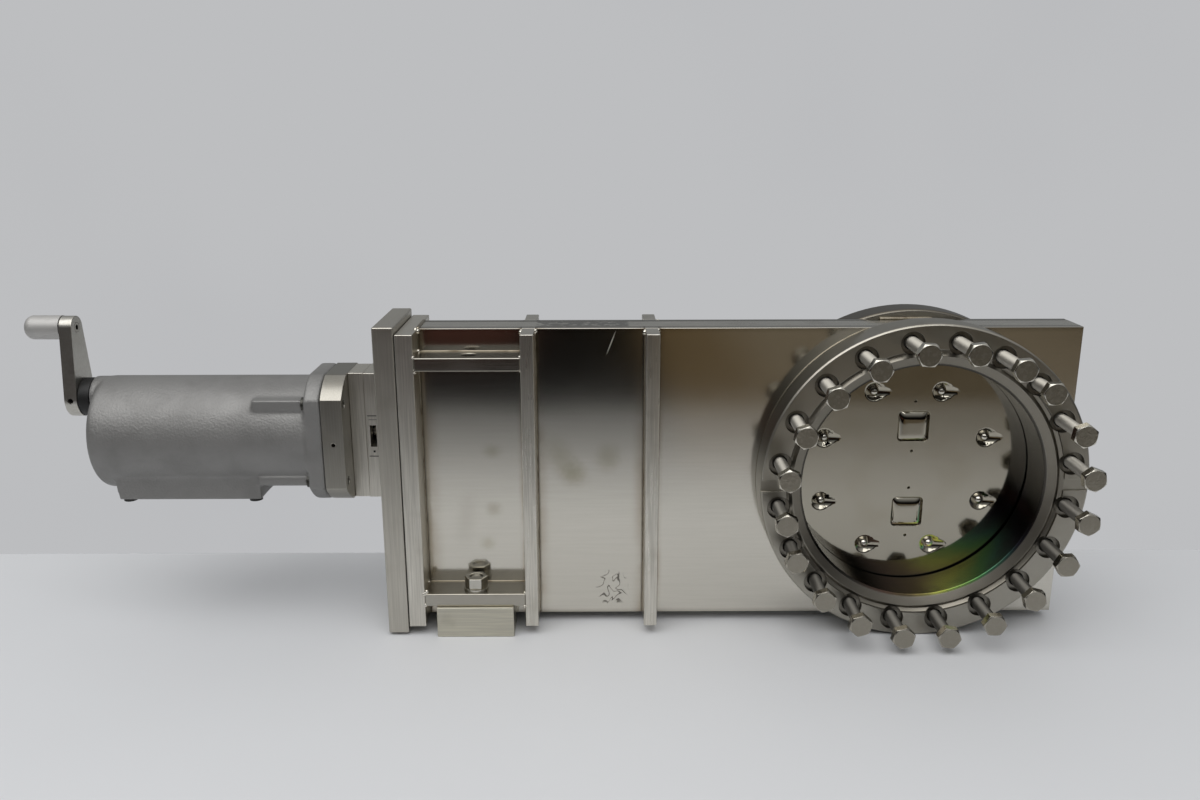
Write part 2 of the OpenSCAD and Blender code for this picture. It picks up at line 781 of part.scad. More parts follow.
module ball_cup() {
    translate([0, 0, cup_lift]) sphere(r = cup_r);
    translate([0, 0, cup_lift]) rotate([0, 90, 0]) cylinder(r1 = cup_r, r2 = cup_lift, h = cup_tail);
}

module rounded_pocket() {
    flat = pocket_w - 2 * pocket_round;
    for (turn = [0, 90]) rotate(turn)
        translate([-flat / 2, -pocket_w / 2, -pocket_depth]) cube([flat, pocket_w, pocket_depth + OVER]);
    for (x = [-1, 1]) for (y = [-1, 1]) translate([x * flat / 2, y * flat / 2, -pocket_depth])
        cylinder(r = pocket_round, h = pocket_depth + OVER);
}

module gate_disc(side) {
    outwards(side) difference() {
        translate([0, 0, web_t / 2]) cylinder(d = gate_d, h = gate_face - web_t / 2);
        translate([-cup_shift, 0, gate_face]) for (i = [0 : CUP_COUNT - 1])
            rotate((i + 0.5) * 360 / CUP_COUNT) translate([cup_ring_r, 0, 0])
                rotate(-(i + 0.5) * 360 / CUP_COUNT) ball_cup();
        for (level = [-1, 1]) translate([0, level * pocket_z, gate_face]) rounded_pocket();
        for (level = [-1, 1]) for (offset = [-vent_offset, vent_offset])
            translate([0, level * pocket_z + offset, gate_face - pocket_depth])
                cylinder(d = vent_d, h = pocket_depth + OVER);
    }
}

module gate_front_disc() {
    color("#8b8a84") at_mid_plane() gate_disc(-1);
}

module gate_rear_disc() {
    color("#8b8a84") at_mid_plane() gate_disc(1);
}

module gate_carriage() {
    color("#7f7e79") at_mid_plane() difference() {
        union() {
            translate([0, web_t / 2, 0]) rotate([90, 0, 0]) cylinder(d = gate_d - 2 * web_inset, h = web_t);
            difference() {
                translate([-gate_d / 2 - tail_l, -gate_face, -tail_h / 2])
                    cube([tail_l + gate_d / 4, 2 * gate_face, tail_h]);
                for (side = [-1, 1]) outwards(side) translate([0, 0, web_t / 2])
                    cylinder(d = gate_d + 2 * fit_gap, h = gate_face);
            }
        }
        along_x(stem_start_x, 0, drive_z) rotate([0, 180, 0]) cylinder(d = stem_d + 2 * fit_gap, h = tail_l);
    }
}

module gate_stem() {
    color("#8c8b87") at_mid_plane()
        along_x(stem_end_x, 0, drive_z) cylinder(d = stem_d, h = stem_start_x - stem_end_x);
}

front_plate();
rear_plate();
top_rail();
bottom_rail();
end_rail();
front_flange();
rear_flange();
flange_bolts();
front_ribs();
rear_ribs();
front_top_bar();
front_bottom_bar();
rear_top_bar();
rear_bottom_bar();
front_foot();
rear_foot();
foot_studs();
foot_washers();
foot_nuts();
body_flange();
bonnet_gasket();
bonnet_plate();
bonnet_screws();
neck_block();
neck_spacer();
adapter_plate();
actuator_casing();
casing_screws();
casing_pads();
crank_hub();
crank_arm();
crank_set_screw();
knob_axle();
crank_knob();
gate_front_disc();
gate_rear_disc();
gate_carriage();
gate_stem();
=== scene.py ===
"""Vacuum gate valve: eased edges, welds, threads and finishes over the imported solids."""

import logging
import math
import random
from dataclasses import dataclass
from enum import Enum
from typing import Any, Callable, Iterable, Optional

import bmesh
import bpy
from mathutils import Matrix, Vector


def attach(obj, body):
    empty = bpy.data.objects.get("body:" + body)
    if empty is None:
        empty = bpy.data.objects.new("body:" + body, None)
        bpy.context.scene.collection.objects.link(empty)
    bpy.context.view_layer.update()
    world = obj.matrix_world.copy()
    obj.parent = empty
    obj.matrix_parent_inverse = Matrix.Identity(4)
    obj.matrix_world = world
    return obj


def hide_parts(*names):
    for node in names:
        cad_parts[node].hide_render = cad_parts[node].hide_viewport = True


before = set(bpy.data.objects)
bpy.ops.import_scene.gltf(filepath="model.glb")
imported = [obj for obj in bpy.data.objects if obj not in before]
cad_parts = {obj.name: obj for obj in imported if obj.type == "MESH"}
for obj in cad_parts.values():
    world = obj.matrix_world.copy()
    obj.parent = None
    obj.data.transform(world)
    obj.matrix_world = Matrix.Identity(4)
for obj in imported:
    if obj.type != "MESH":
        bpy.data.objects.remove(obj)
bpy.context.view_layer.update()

MM = 0.001
# The plane midway between the two port faces, in metres
MID_Y = -0.035
# Points of a solid's mesh that are closer than this, in metres, are one
JOIN_M = 2e-6
# Faces of a solid that meet flatter than this are one face
FLAT_DEG = 0.6
# Edges of a solid that are sharper than this get eased
EDGE_DEG = 40.0
# How deep a mark on a face reaches
MARK_MM = 6.0
log = logging.getLogger("gate_valve")

Socket = bpy.types.NodeSocket
Tree = bpy.types.NodeTree
Material = bpy.types.Material
Shape = bmesh.types.BMesh
Chooser = Callable[[Vector], bool]


# ---- Shared helpers --------------------------------------------------------------------


def linear(colour: str) -> tuple[float, float, float, float]:
    """Turns an sRGB colour into linear RGBA.

    Args:
        colour: the colour in hex, such as "#a1b2c3".

    Returns:
        Its linear channels, with an alpha of 1.
    """
    channels = [int(colour[i : i + 2], 16) / 255 for i in (1, 3, 5)]
    red, green, blue = [c / 12.92 if c <= 0.04045 else ((c + 0.055) / 1.055) ** 2.4 for c in channels]
    return (red, green, blue, 1.0)


def add(
    tree: Tree,
    kind: str,
    inputs: Optional[dict[Any, Any]] = None,
    out: Any = 0,
    stops: Iterable[tuple[float, str]] = (),
    **settings: Any,
) -> Optional[Socket]:
    """Adds a node with its settings and links.

    Args:
        tree: the node tree.
        kind: the node's type without its "ShaderNode", such as "Math".
        inputs: socket name or number to a value, or to the output socket that feeds it.
        out: which output to return.
        stops: a colour ramp's positions and sRGB hex colours.
        settings: the node's own properties.

    Returns:
        The output socket asked for, or None for a node that has none.
    """
    node = tree.nodes.new("ShaderNode" + kind)
    for key, value in settings.items():
        setattr(node, key, value)
    for key, value in (inputs or {}).items():
        if isinstance(value, Socket):
            tree.links.new(value, node.inputs[key])
        else:
            node.inputs[key].default_value = value
    for index, (place, colour) in enumerate(stops):
        ramp = node.color_ramp.elements
        # A new ramp already has two stops
        stop = ramp[index] if index < 2 else ramp.new(place)
        stop.position = place
        stop.color = linear(colour)
    return node.outputs[out] if len(node.outputs) else None


def mesh_object(name: str, shape: Shape, material: Material) -> bpy.types.Object:
    """Turns a bmesh into an object in the scene.

    Args:
        name: the object's name.
        shape: its geometry; it is freed.
        material: its finish.

    Returns:
        The new object.
    """
    mesh = bpy.data.meshes.new(name)
    shape.to_mesh(mesh)
    shape.free()
    mesh.materials.append(material)
    item = bpy.data.objects.new(name, mesh)
    bpy.context.scene.collection.objects.link(item)
    return item


def place_piece(
    name: str,
    shape: Shape,
    material: Material,
    body: str = "valve",
    nodes: tuple[str, ...] = (),
    sharp_deg: float = 32.0,
) -> bpy.types.Object:
    """Turns a bmesh into a finished piece that rides on a body.

    Args:
        name: the piece's name.
        shape: its geometry, in the valve's own frame; it is freed.
        material: its finish.
        body: the body that it rides on.
        nodes: the solids that it stands for.
        sharp_deg: edges sharper than this stay crisp.

    Returns:
        The new object.
    """
    piece = mesh_object(name, shape, material)
    for face in piece.data.polygons:
        face.use_smooth = True
    piece.data.set_sharp_from_angle(angle=math.radians(sharp_deg))
    # Large faces set the shading, so that they look flat beside their eased edges
    flats = piece.modifiers.new("flat faces first", "WEIGHTED_NORMAL")
    flats.keep_sharp = True
    flats.weight = 80
    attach(piece, body)
    if nodes:
        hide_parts(*nodes)
    log.info("%s: %d faces on %s", name, len(piece.data.polygons), body)
    return piece


def dress(node: str, material: Material) -> None:
    """Gives a solid that stays as it is its finish.

    Args:
        node: the solid's name.
        material: its finish.
    """
    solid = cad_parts[node]
    solid.data.materials.clear()
    solid.data.materials.append(material)
    log.info("%s: keeps its solid, in %s", node, material.name)


def merged_copy(node: str) -> Shape:
    """Copies a solid's mesh, with its loose triangles joined and its flat faces made whole.

    Args:
        node: the solid's name.

    Returns:
        The copy.
    """
    shape = bmesh.new()
    shape.from_mesh(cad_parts[node].data)
    bmesh.ops.remove_doubles(shape, verts=shape.verts, dist=JOIN_M)
    bmesh.ops.dissolve_limit(
        shape, angle_limit=math.radians(FLAT_DEG), verts=shape.verts, edges=shape.edges, delimit=set()
    )
    return shape


def bevel(shape: Shape, edges: Iterable, reach_mm: float, segments: int, clamp: bool = False) -> None:
    """Rounds edges, or cuts them to a chamfer with one segment.

    Args:
        shape: the bmesh.
        edges: the edges.
        reach_mm: how far the rounding reaches back from an edge.
        segments: steps across the rounding.
        clamp: keeps roundings that would meet from crossing.
    """
    bmesh.ops.bevel(
        shape,
        geom=edges,
        offset=reach_mm * MM,
        offset_type="OFFSET",
        segments=segments,
        profile=0.5,
        affect="EDGES",
        clamp_overlap=clamp,
        material=-1,
    )


def ease(shape: Shape, ease_mm: float, segments: int = 2, choose: Optional[Chooser] = None) -> None:
    """Rounds a bmesh's sharp edges.

    Args:
        shape: the bmesh.
        ease_mm: how far the rounding reaches back from an edge.
        segments: steps across the rounding.
        choose: says, from an edge's middle, whether it is eased; all are if left out.
    """
    edges = [
        edge
        for edge in shape.edges
        if len(edge.link_faces) == 2
        and edge.calc_face_angle(0.0) > math.radians(EDGE_DEG)
        and (choose is None or choose((edge.verts[0].co + edge.verts[1].co) / 2))
    ]
    bevel(shape, edges, ease_mm, segments)


def eased_piece(
    name: str,
    node: str,
    ease_mm: float,
    material: Material,
    body: str = "valve",
    segments: int = 2,
    choose: Optional[Chooser] = None,
) -> None:
    """Stands an eased copy of a solid in the solid's place.

    Args:
        name: the piece's name.
        node: the solid's name.
        ease_mm: how far the rounding reaches back from an edge.
        material: its finish.
        body: the body that it rides on.
        segments: steps across the rounding.
        choose: says, from an edge's middle, whether it is eased; all are if left out.
    """
    shape = merged_copy(node)
    ease(shape, ease_mm, segments, choose)
    place_piece(name, shape, material, body, (node,))


def spun(profile: list[tuple[float, float]], steps: int, place: Matrix) -> Shape:
    """Turns a profile into a closed round shape.

    Args:
        profile: (distance along the axis, radius) in millimetres, from one end to the other.
        steps: faces round a full turn.
        place: where the shape goes; before it, the axis is Z and the start is the origin.

    Returns:
        The round bmesh, with its faces pointing out.
    """
    shape = bmesh.new()
    points = [shape.verts.new((radius * MM, 0, along * MM)) for along, radius in profile]
    edges = [shape.edges.new(pair) for pair in zip(points, points[1:])]
    bmesh.ops.spin(
        shape,
        geom=points + edges,
        cent=(0, 0, 0),
        axis=(0, 0, 1),
        angle=math.tau,
        steps=steps,
        use_merge=True,
        use_duplicate=False,
    )
    bmesh.ops.remove_doubles(shape, verts=shape.verts, dist=1e-6)
    bmesh.ops.recalc_face_normals(shape, faces=shape.faces)
    bmesh.ops.transform(shape, matrix=place, verts=shape.verts)
    return shape


def join_into(target: Shape, part: Shape, place: Optional[Matrix] = None) -> None:
    """Adds a copy of one bmesh to another.

    Args:
        target: the bmesh that grows.
        part: the bmesh that is copied; it stays.
        place: where the copy goes.
    """
    mesh = bpy.data.meshes.new("part")
    part.to_mesh(mesh)
    if place is not None:
        mesh.transform(place)
    target.from_mesh(mesh)
    bpy.data.meshes.remove(mesh)


def aimed(at: Vector, along: Vector, roll_deg: float = 0.0) -> Matrix:
    """A placement whose Z runs along a direction from a point, rolled about it."""
    turn = along.to_track_quat("Z", "Y").to_matrix().to_4x4()
    return Matrix.Translation(at) @ turn @ Matrix.Rotation(math.radians(roll_deg), 4, "Z")


def weld_bead(start: Vector, end: Vector, radius_mm: float, ripple_mm: float = 1.6) -> Shape:
    """A weld seam between two points: a round bead with the ripples that its pool leaves.

    Args:
        start: its first point, in metres.
        end: its last point.
        radius_mm: half its thickness.
        ripple_mm: the distance from ripple to ripple.

    Returns:
        The closed bead.
    """
    steps_per_ripple, hollow = 3, 0.16
    tip, growth = 0.55, 0.25
    run = end - start
    steps = max(2, round(run.length / (ripple_mm * MM))) * steps_per_ripple
    profile = [(0.0, 0.0)]
    for step in range(steps + 1):
        swell = 1 - hollow * abs(math.cos(math.pi * step / steps_per_ripple))
        taper = min(1.0, tip + growth * min(step, steps - step))
        profile.append((run.length / MM * step / steps, radius_mm * swell * taper))
    profile.append((run.length / MM, 0.0))
    return spun(profile, 10, aimed(start, run.normalized()))


# ---- Finishes --------------------------------------------------------------------------


class Grain(Enum):
    """The way that a ground or brushed surface's lines run, as the stretch of their pattern."""

    ALONG_X = (0.025, 1.0, 1.0)
    ALONG_Z = (1.0, 1.0, 0.025)
    CROSSED = (0.35, 1.0, 0.35)


@dataclass
class Finish:
    """A finish in the making: layers of colour, roughness and relief are laid on one another."""

    name: str
    colour: str
    roughness: float
    metallic: float = 1.0
    tree: Any = None
    place: Any = None
    tone: Any = None
    rough: Any = None
    normal: Any = None
    material: Any = None

    def __post_init__(self) -> None:
        """Starts the node tree with the object's own coordinates."""
        self.material = bpy.data.materials.new(self.name)
        self.material.use_nodes = True
        self.tree = self.material.node_tree
        self.tree.nodes.clear()
        self.place = add(self.tree, "TexCoord", out="Object")
        self.tone = linear(self.colour)
        self.rough = self.roughness

    def blotches(
        self,
        size_mm: float,
        low: float,
        high: float,
        stretch: tuple = (1, 1, 1),
        detail: float = 3.0,
        shift: float = 0.0,
    ) -> Socket:
        """Soft patches of about a given size.

        Args:
            size_mm: their size.
            low: the noise level at which they start.
            high: the level at which they are full.
            stretch: how far the pattern is squeezed along each axis.
            detail: octaves of noise.
            shift: moves the pattern, so that two layers differ.

        Returns:
            A factor from 0 to 1.
        """
        scale = tuple(1000 / size_mm * k for k in stretch)
        moved = {"Vector": self.place, "Location": (shift,) * 3, "Scale": scale}
        scaled = add(self.tree, "Mapping", moved)
        noise = add(self.tree, "TexNoise", {"Vector": scaled, "Scale": 1.0, "Detail": detail})
        return self.between(noise, low, high)

    def patch(
        self,
        centre_mm: tuple[float, float, float],
        half_mm: tuple[float, float, float],
        turn_deg: float,
        core: float,
        ragged: float = 0.0,
    ) -> Socket:
        """One soft spot or streak, as an oval that is turned in the X-Z plane.

        Args:
            centre_mm: its centre.
            half_mm: its half sizes; a large one leaves that axis free.
            turn_deg: its turn about Y.
            core: the share of it that is full.
            ragged: how far noise frays its edge.

        Returns:
            A factor from 0 to 1.
        """
        oval = {
            "Vector": self.place,
            "Location": tuple(v * MM for v in centre_mm),
            "Rotation": (0, math.radians(turn_deg), 0),
            "Scale": tuple(v * MM for v in half_mm),
        }
        inside = add(self.tree, "Mapping", oval, vector_type="TEXTURE")
        reach = add(self.tree, "VectorMath", {0: inside}, out="Value", operation="LENGTH")
        if ragged:
            # Frays of about 2.4 mm
            fray = add(self.tree, "TexNoise", {"Vector": self.place, "Scale": 420.0, "Detail": 3.0})
            reach = add(self.tree, "Math", {0: fray, 1: ragged, 2: reach}, operation="MULTIPLY_ADD")
        return self.between(reach, 1.0 + ragged * 0.5, core + ragged * 0.5)

    def seam(self, axis: int, at_mm: float, reach_mm: float, side: int = 0) -> Socket:
        """A band that fades away from a plane.

        Args:
            axis: 0, 1 or 2 for X, Y or Z.
            at_mm: the plane's place on that axis.
            reach_mm: how far the band reaches.
            side: 1 for above the plane only, -1 for below, 0 for both.

        Returns:
            A factor from 0 to 1.
        """
        away = self.past(axis, at_mm)
        gap = add(self.tree, "Math", {0: away}, operation="ABSOLUTE")
        band = self.level(gap, reach_mm, 0.0)
        if side == 0:
            return band
        # The plane itself belongs to the side
        way = "GREATER_THAN" if side > 0 else "LESS_THAN"
        inside = add(self.tree, "Math", {0: away, 1: -side * 0.0001}, operation=way)
        return self.product(band, inside)

    def past(self, axis: int, at_mm: float) -> Socket:
        """How far, in metres, a point lies past a plane across an axis."""
        along = add(self.tree, "SeparateXYZ", {0: self.place}, out=axis)
        return add(self.tree, "Math", {0: along, 1: at_mm * MM}, operation="SUBTRACT")

    def between(self, value: Socket, none: float, full: float) -> Socket:
        """A factor that rises smoothly from 0 to 1 as a value goes from one number to another."""
        ends = {"Value": value, "From Min": none, "From Max": full}
        return add(self.tree, "MapRange", ends, interpolation_type="SMOOTHSTEP")

    def level(self, distance: Socket, none_mm: float, full_mm: float) -> Socket:
        """A factor that rises smoothly from 0 to 1 as a distance goes from one length to another."""
        return self.between(distance, none_mm * MM, full_mm * MM)

    def product(self, first: Any, *others: Any) -> Socket:
        """The product of some factors."""
        for other in others:
            first = add(self.tree, "Math", {0: first, 1: other}, operation="MULTIPLY")
        return first

    def radius(self, centre_z_mm: float = 0.0, axis: int = 1) -> Socket:
        """How far, in metres, a point lies from an axis.

        Args:
            centre_z_mm: the axis's height.
            axis: 0 for an axis along X on the middle plane, 1 for one along Y.

        Returns:
            The distance.
        """
        flat = (0.0, 1.0, 1.0) if axis == 0 else (1.0, 0.0, 1.0)
        middle = (0.0, -MID_Y if axis == 0 else 0.0, -centre_z_mm * MM)
        moved = add(self.tree, "Mapping", {"Vector": self.place, "Location": middle})
        across = add(self.tree, "VectorMath", {0: moved, 1: flat}, operation="MULTIPLY")
        return add(self.tree, "VectorMath", {0: across}, out="Value", operation="LENGTH")

    def turn(self) -> Socket:
        """The angle round the port as a share of a turn: a quarter is straight down, a half is +X."""
        angle = add(self.tree, "Math", {0: self.past(2, 0.0), 1: self.past(0, 0.0)}, operation="ARCTAN2")
        return add(self.tree, "Math", {0: angle, 1: 1 / math.tau, 2: 0.5}, operation="MULTIPLY_ADD")

    def tint(self, factor: Socket, colour: Any, share: float = 1.0) -> None:
        """Lays a colour over the finish.

        Args:
            factor: where it is laid, from 0 to 1.
            colour: an sRGB hex, or a socket.
            share: how much of it shows where the factor is 1.
        """
        over = linear(colour) if isinstance(colour, str) else colour
        inputs = {"Factor": self.product(factor, share), 6: self.tone, 7: over}
        self.tone = add(self.tree, "Mix", inputs, out=2, data_type="RGBA")

    def gloss(self, factor: Socket, roughness: float, share: float = 1.0) -> None:
        """Changes the roughness.

        Args:
            factor: where it changes, from 0 to 1.
            roughness: the new value.
            share: how much of the change shows where the factor is 1.
        """
        inputs = {"Factor": self.product(factor, share), 2: self.rough, 3: roughness}
        self.rough = add(self.tree, "Mix", inputs, data_type="FLOAT")

    def relief(self, height: Socket, depth_mm: float) -> None:
        """Raises the surface.

        Args:
            height: a factor from 0 to 1.
            depth_mm: how high it stands where the factor is 1.
        """
        inputs = {"Height": height, "Strength": 1.0, "Distance": depth_mm * MM}
        if self.normal is not None:
            inputs["Normal"] = self.normal
        self.normal = add(self.tree, "Bump", inputs)

    def score(self, lines: Socket, depth_mm: float, spread: float, shade: str) -> None:
        """Lays a tool's lines over the surface.

        Args:
            lines: a factor that is 1 in a line.
            depth_mm: their depth.
            spread: how far they change the roughness.
            shade: the colour in their hollows.
        """
        self.tint(lines, shade, 0.5)
        self.gloss(lines, self.roughness + spread, 0.8)
        self.relief(lines, depth_mm)

    def grind(self, grain: Grain, pitch_mm: float, depth_mm: float, spread: float, shade: str) -> None:
        """Lays the lines of a belt or wheel over the surface.

        Args:
            grain: the way that they run.
            pitch_mm: the distance from line to line.
            depth_mm: their depth.
            spread: how far they change the roughness.
            shade: the colour in their hollows.
        """
        lines = self.blotches(pitch_mm, 0.3, 0.7, grain.value, detail=2.0)
        self.score(lines, depth_mm, spread, shade)

    def turned(
        self,
        pitch_mm: float,
        depth_mm: float,
        spread: float,
        shade: str,
        centre_z_mm: float = 0.0,
        axis: int = 1,
    ) -> None:
        """Lays the rings that a lathe tool leaves round an axis.

        Args:
            pitch_mm: the distance from ring to ring.
            depth_mm: their depth.
            spread: how far they change the roughness.
            shade: the colour in their hollows.
            centre_z_mm: the axis's height.
            axis: 0 for an axis along X, 1 for one along Y.
        """
        away = {"W": self.radius(centre_z_mm, axis), "Scale": 1000 / pitch_mm, "Detail": 2.0}
        rings = add(self.tree, "TexNoise", away, noise_dimensions="1D")
        lines = add(self.tree, "MapRange", {"Value": rings, "From Min": 0.3, "From Max": 0.7})
        self.score(lines, depth_mm, spread, shade)

    def close(self) -> Material:
        """Links the layers to the shader.

        Returns:
            The material.
        """
        inputs = {"Base Color": self.tone, "Metallic": self.metallic, "Roughness": self.rough}
        if self.normal is not None:
            inputs["Normal"] = self.normal
        surface = add(self.tree, "BsdfPrincipled", inputs)
        add(self.tree, "OutputMaterial", {"Surface": surface})
        return self.material


@dataclass(frozen=True)
class Smear:
    """A fingermark or a drop's stain on the front sheet: an oval with soft, frayed edges."""

    x_mm: float
    z_mm: float
    half_x_mm: float
    half_z_mm: float
    turn_deg: float
    share: float
    colour: str
    roughness: float

    def wipe_on(self, coat: Finish, y_mm: float) -> None:
        """Lays the smear over a finish.

        Args:
            coat: the finish.
            y_mm: where the sheet's face is.
        """
        centre = (self.x_mm, y_mm, self.z_mm)
        half = (self.half_x_mm, MARK_MM, self.half_z_mm)
        spot = coat.patch(centre, half, self.turn_deg, core=0.0, ragged=0.4)
        coat.tint(spot, self.colour, self.share)
        coat.gloss(spot, self.roughness, 0.6)


@dataclass(frozen=True)
class RolledSheet:
    """Cold rolled stainless sheet, brushed bright: it mirrors the table in a soft warm blur."""

    roughness: float = 0.125
    front: bool = True
    front_y_mm: float = -48.85
    # Each upright weld: its x, the side that its heat shows on, and how far it reaches
    upright_welds_mm: tuple = (
        (-311.4, 1, 13),
        (-247.65, -1, 5),
        (-239.55, 1, 9),
        (-172.15, -1, 9),
        (-164.05, 1, 5),
    )
    level_edges_mm: tuple = ((-95.0, 1), (95.0, -1))
    smears: tuple = (
        Smear(-224.5, 12.0, 23.0, 13.0, 61.8, 0.32, "#97906f", 0.19),
        Smear(-216.5, 0.8, 13.0, 12.0, 43.0, 0.42, "#928b69", 0.2),
        Smear(-194.9, 12.3, 11.5, 14.5, 10.0, 0.36, "#958e6f", 0.19),
        Smear(-268.0, 16.5, 8.5, 7.0, 0.0, 0.34, "#938c6e", 0.19),
        Smear(-267.9, -22.5, 7.6, 7.4, 20.0, 0.34, "#938c6e", 0.19),
        Smear(-272.5, -45.9, 7.2, 7.2, 0.0, 0.34, "#a39b7e", 0.19),
        Smear(-286.0, -30.0, 10.0, 28.0, 8.0, 0.12, "#7a6f5a", 0.16),
    )

    def build(self) -> Material:
        """Makes the finish, with heat tint beside the welds and, in front, the marks of handling.

        Returns:
            The material.
        """
        name = "rolled_stainless_" + ("front" if self.front else "rear")
        coat = Finish(name, "#d2cec4", self.roughness)
        coat.grind(Grain.ALONG_X, 0.9, 0.0003, 0.012, "#cbc7bd")
        # The sheet is not quite flat
        coat.relief(coat.blotches(55, 0.3, 0.7, detail=1.0), 0.02)
        coat.gloss(coat.blotches(40, 0.45, 0.75, shift=3.0), self.roughness + 0.025, 0.5)
        self.heat(coat)
        if self.front:
            self.mark(coat)
        return coat.close()

    def heat(self, coat: Finish) -> None:
        """Adds the straw and brown oxide that welding leaves within a few millimetres of a seam.

        Args:
            coat: the finish.
        """
        for x_mm, side, reach in self.upright_welds_mm:
            edge = coat.seam(0, x_mm, reach, side)
            frayed = coat.product(edge, coat.blotches(30, 0.2, 0.7, shift=x_mm))
            coat.tint(frayed, "#86704f", 0.5)
            coat.tint(coat.seam(0, x_mm, 2.2, side), "#2e261c", 0.85)
            coat.gloss(frayed, 0.2, 0.5)
        for z_mm, side in self.level_edges_mm:
            coat.tint(coat.seam(2, z_mm, 3.5, side), "#6a5c47", 0.3)
        # The rear sheet's top edge is stained dark along the seam
        rim = coat.level(coat.past(2, 0.0), 94.2, 94.8)
        rear = coat.level(coat.past(1, 0.0), -26.6, -26.0)
        coat.tint(coat.product(rim, rear), "#4a463b", 0.6)

    def mark(self, coat: Finish) -> None:
        """Adds the smears, the scratch and the scuffs on the front sheet.

        Args:
            coat: the finish.
        """
        for smear in self.smears:
            smear.wipe_on(coat, self.front_y_mm)
        at, half = (-193.0, self.front_y_mm, 86.0), (10.5, MARK_MM, 0.42)
        scratch = coat.patch(at, half, 111.0, core=0.4)
        coat.tint(scratch, "#e6e2d8")
        coat.gloss(scratch, 0.5)
        # Rubbed scuffs low between the ribs: broken curved strokes, along the middle of a noise
        at, half = (-192.0, self.front_y_mm, -77.5), (11.5, MARK_MM, 14.0)
        area = coat.patch(at, half, 0.0, core=0.7, ragged=0.3)
        swirls = {"Vector": coat.place, "Scale": 70.0, "Detail": 1.0, "Distortion": 1.6}
        noise = add(coat.tree, "TexNoise", swirls)
        off = add(coat.tree, "Math", {0: noise, 1: 0.5}, operation="SUBTRACT")
        line = add(coat.tree, "Math", {0: off}, operation="ABSOLUTE")
        stroke = add(coat.tree, "MapRange", {"Value": line, "From Min": 0.03, "From Max": 0.012})
        coat.tint(coat.product(area, stroke), "#3f3b33", 0.75)
        coat.gloss(coat.product(area, stroke), 0.45, 0.8)


@dataclass(frozen=True)
class GroundSteel:
    """Stainless bar and plate, belt ground: duller than sheet, with fine lines along one way."""

    name: str
    colour: str
    roughness: float = 0.27
    grain: Grain = Grain.ALONG_Z
    stains: float = 0.35
    depth_mm: float = 0.002
    joints_mm: tuple = ()
    inked_mm: tuple = ()

    def build(self) -> Material:
        """Makes the finish.

        Returns:
            The material.
        """
        coat = Finish(self.name, self.colour, self.roughness)
        coat.grind(self.grain, 0.8, self.depth_mm, 0.05, "#aaa69d")
        coat.tint(coat.blotches(22, 0.5, 0.75), "#8a8271", self.stains * 0.6)
        coat.gloss(coat.blotches(30, 0.45, 0.7, shift=5.0), self.roughness + 0.06, 0.7)
        for y_mm in self.joints_mm:
            coat.tint(coat.seam(1, y_mm, 1.6), "#211e1a", 0.9)
        if self.inked_mm:
            self.ink(coat)
        return coat.close()

    def ink(self, coat: Finish) -> None:
        """Adds marker ink along the front edge, worn through to the metal in flecks.

        Args:
            coat: the finish.
        """
        start, end = self.inked_mm
        along = coat.past(0, 0.0)
        between = coat.product(coat.level(along, *start), coat.level(along, *end))
        rim = coat.level(coat.past(1, 0.0), -44.4, -43.0)
        flecks = coat.product(coat.blotches(5, 0.52, 0.6, shift=9.0), 0.56)
        left = add(coat.tree, "Math", {0: 0.62, 1: flecks}, operation="SUBTRACT")
        coat.tint(coat.product(between, rim, left), "#26241f")


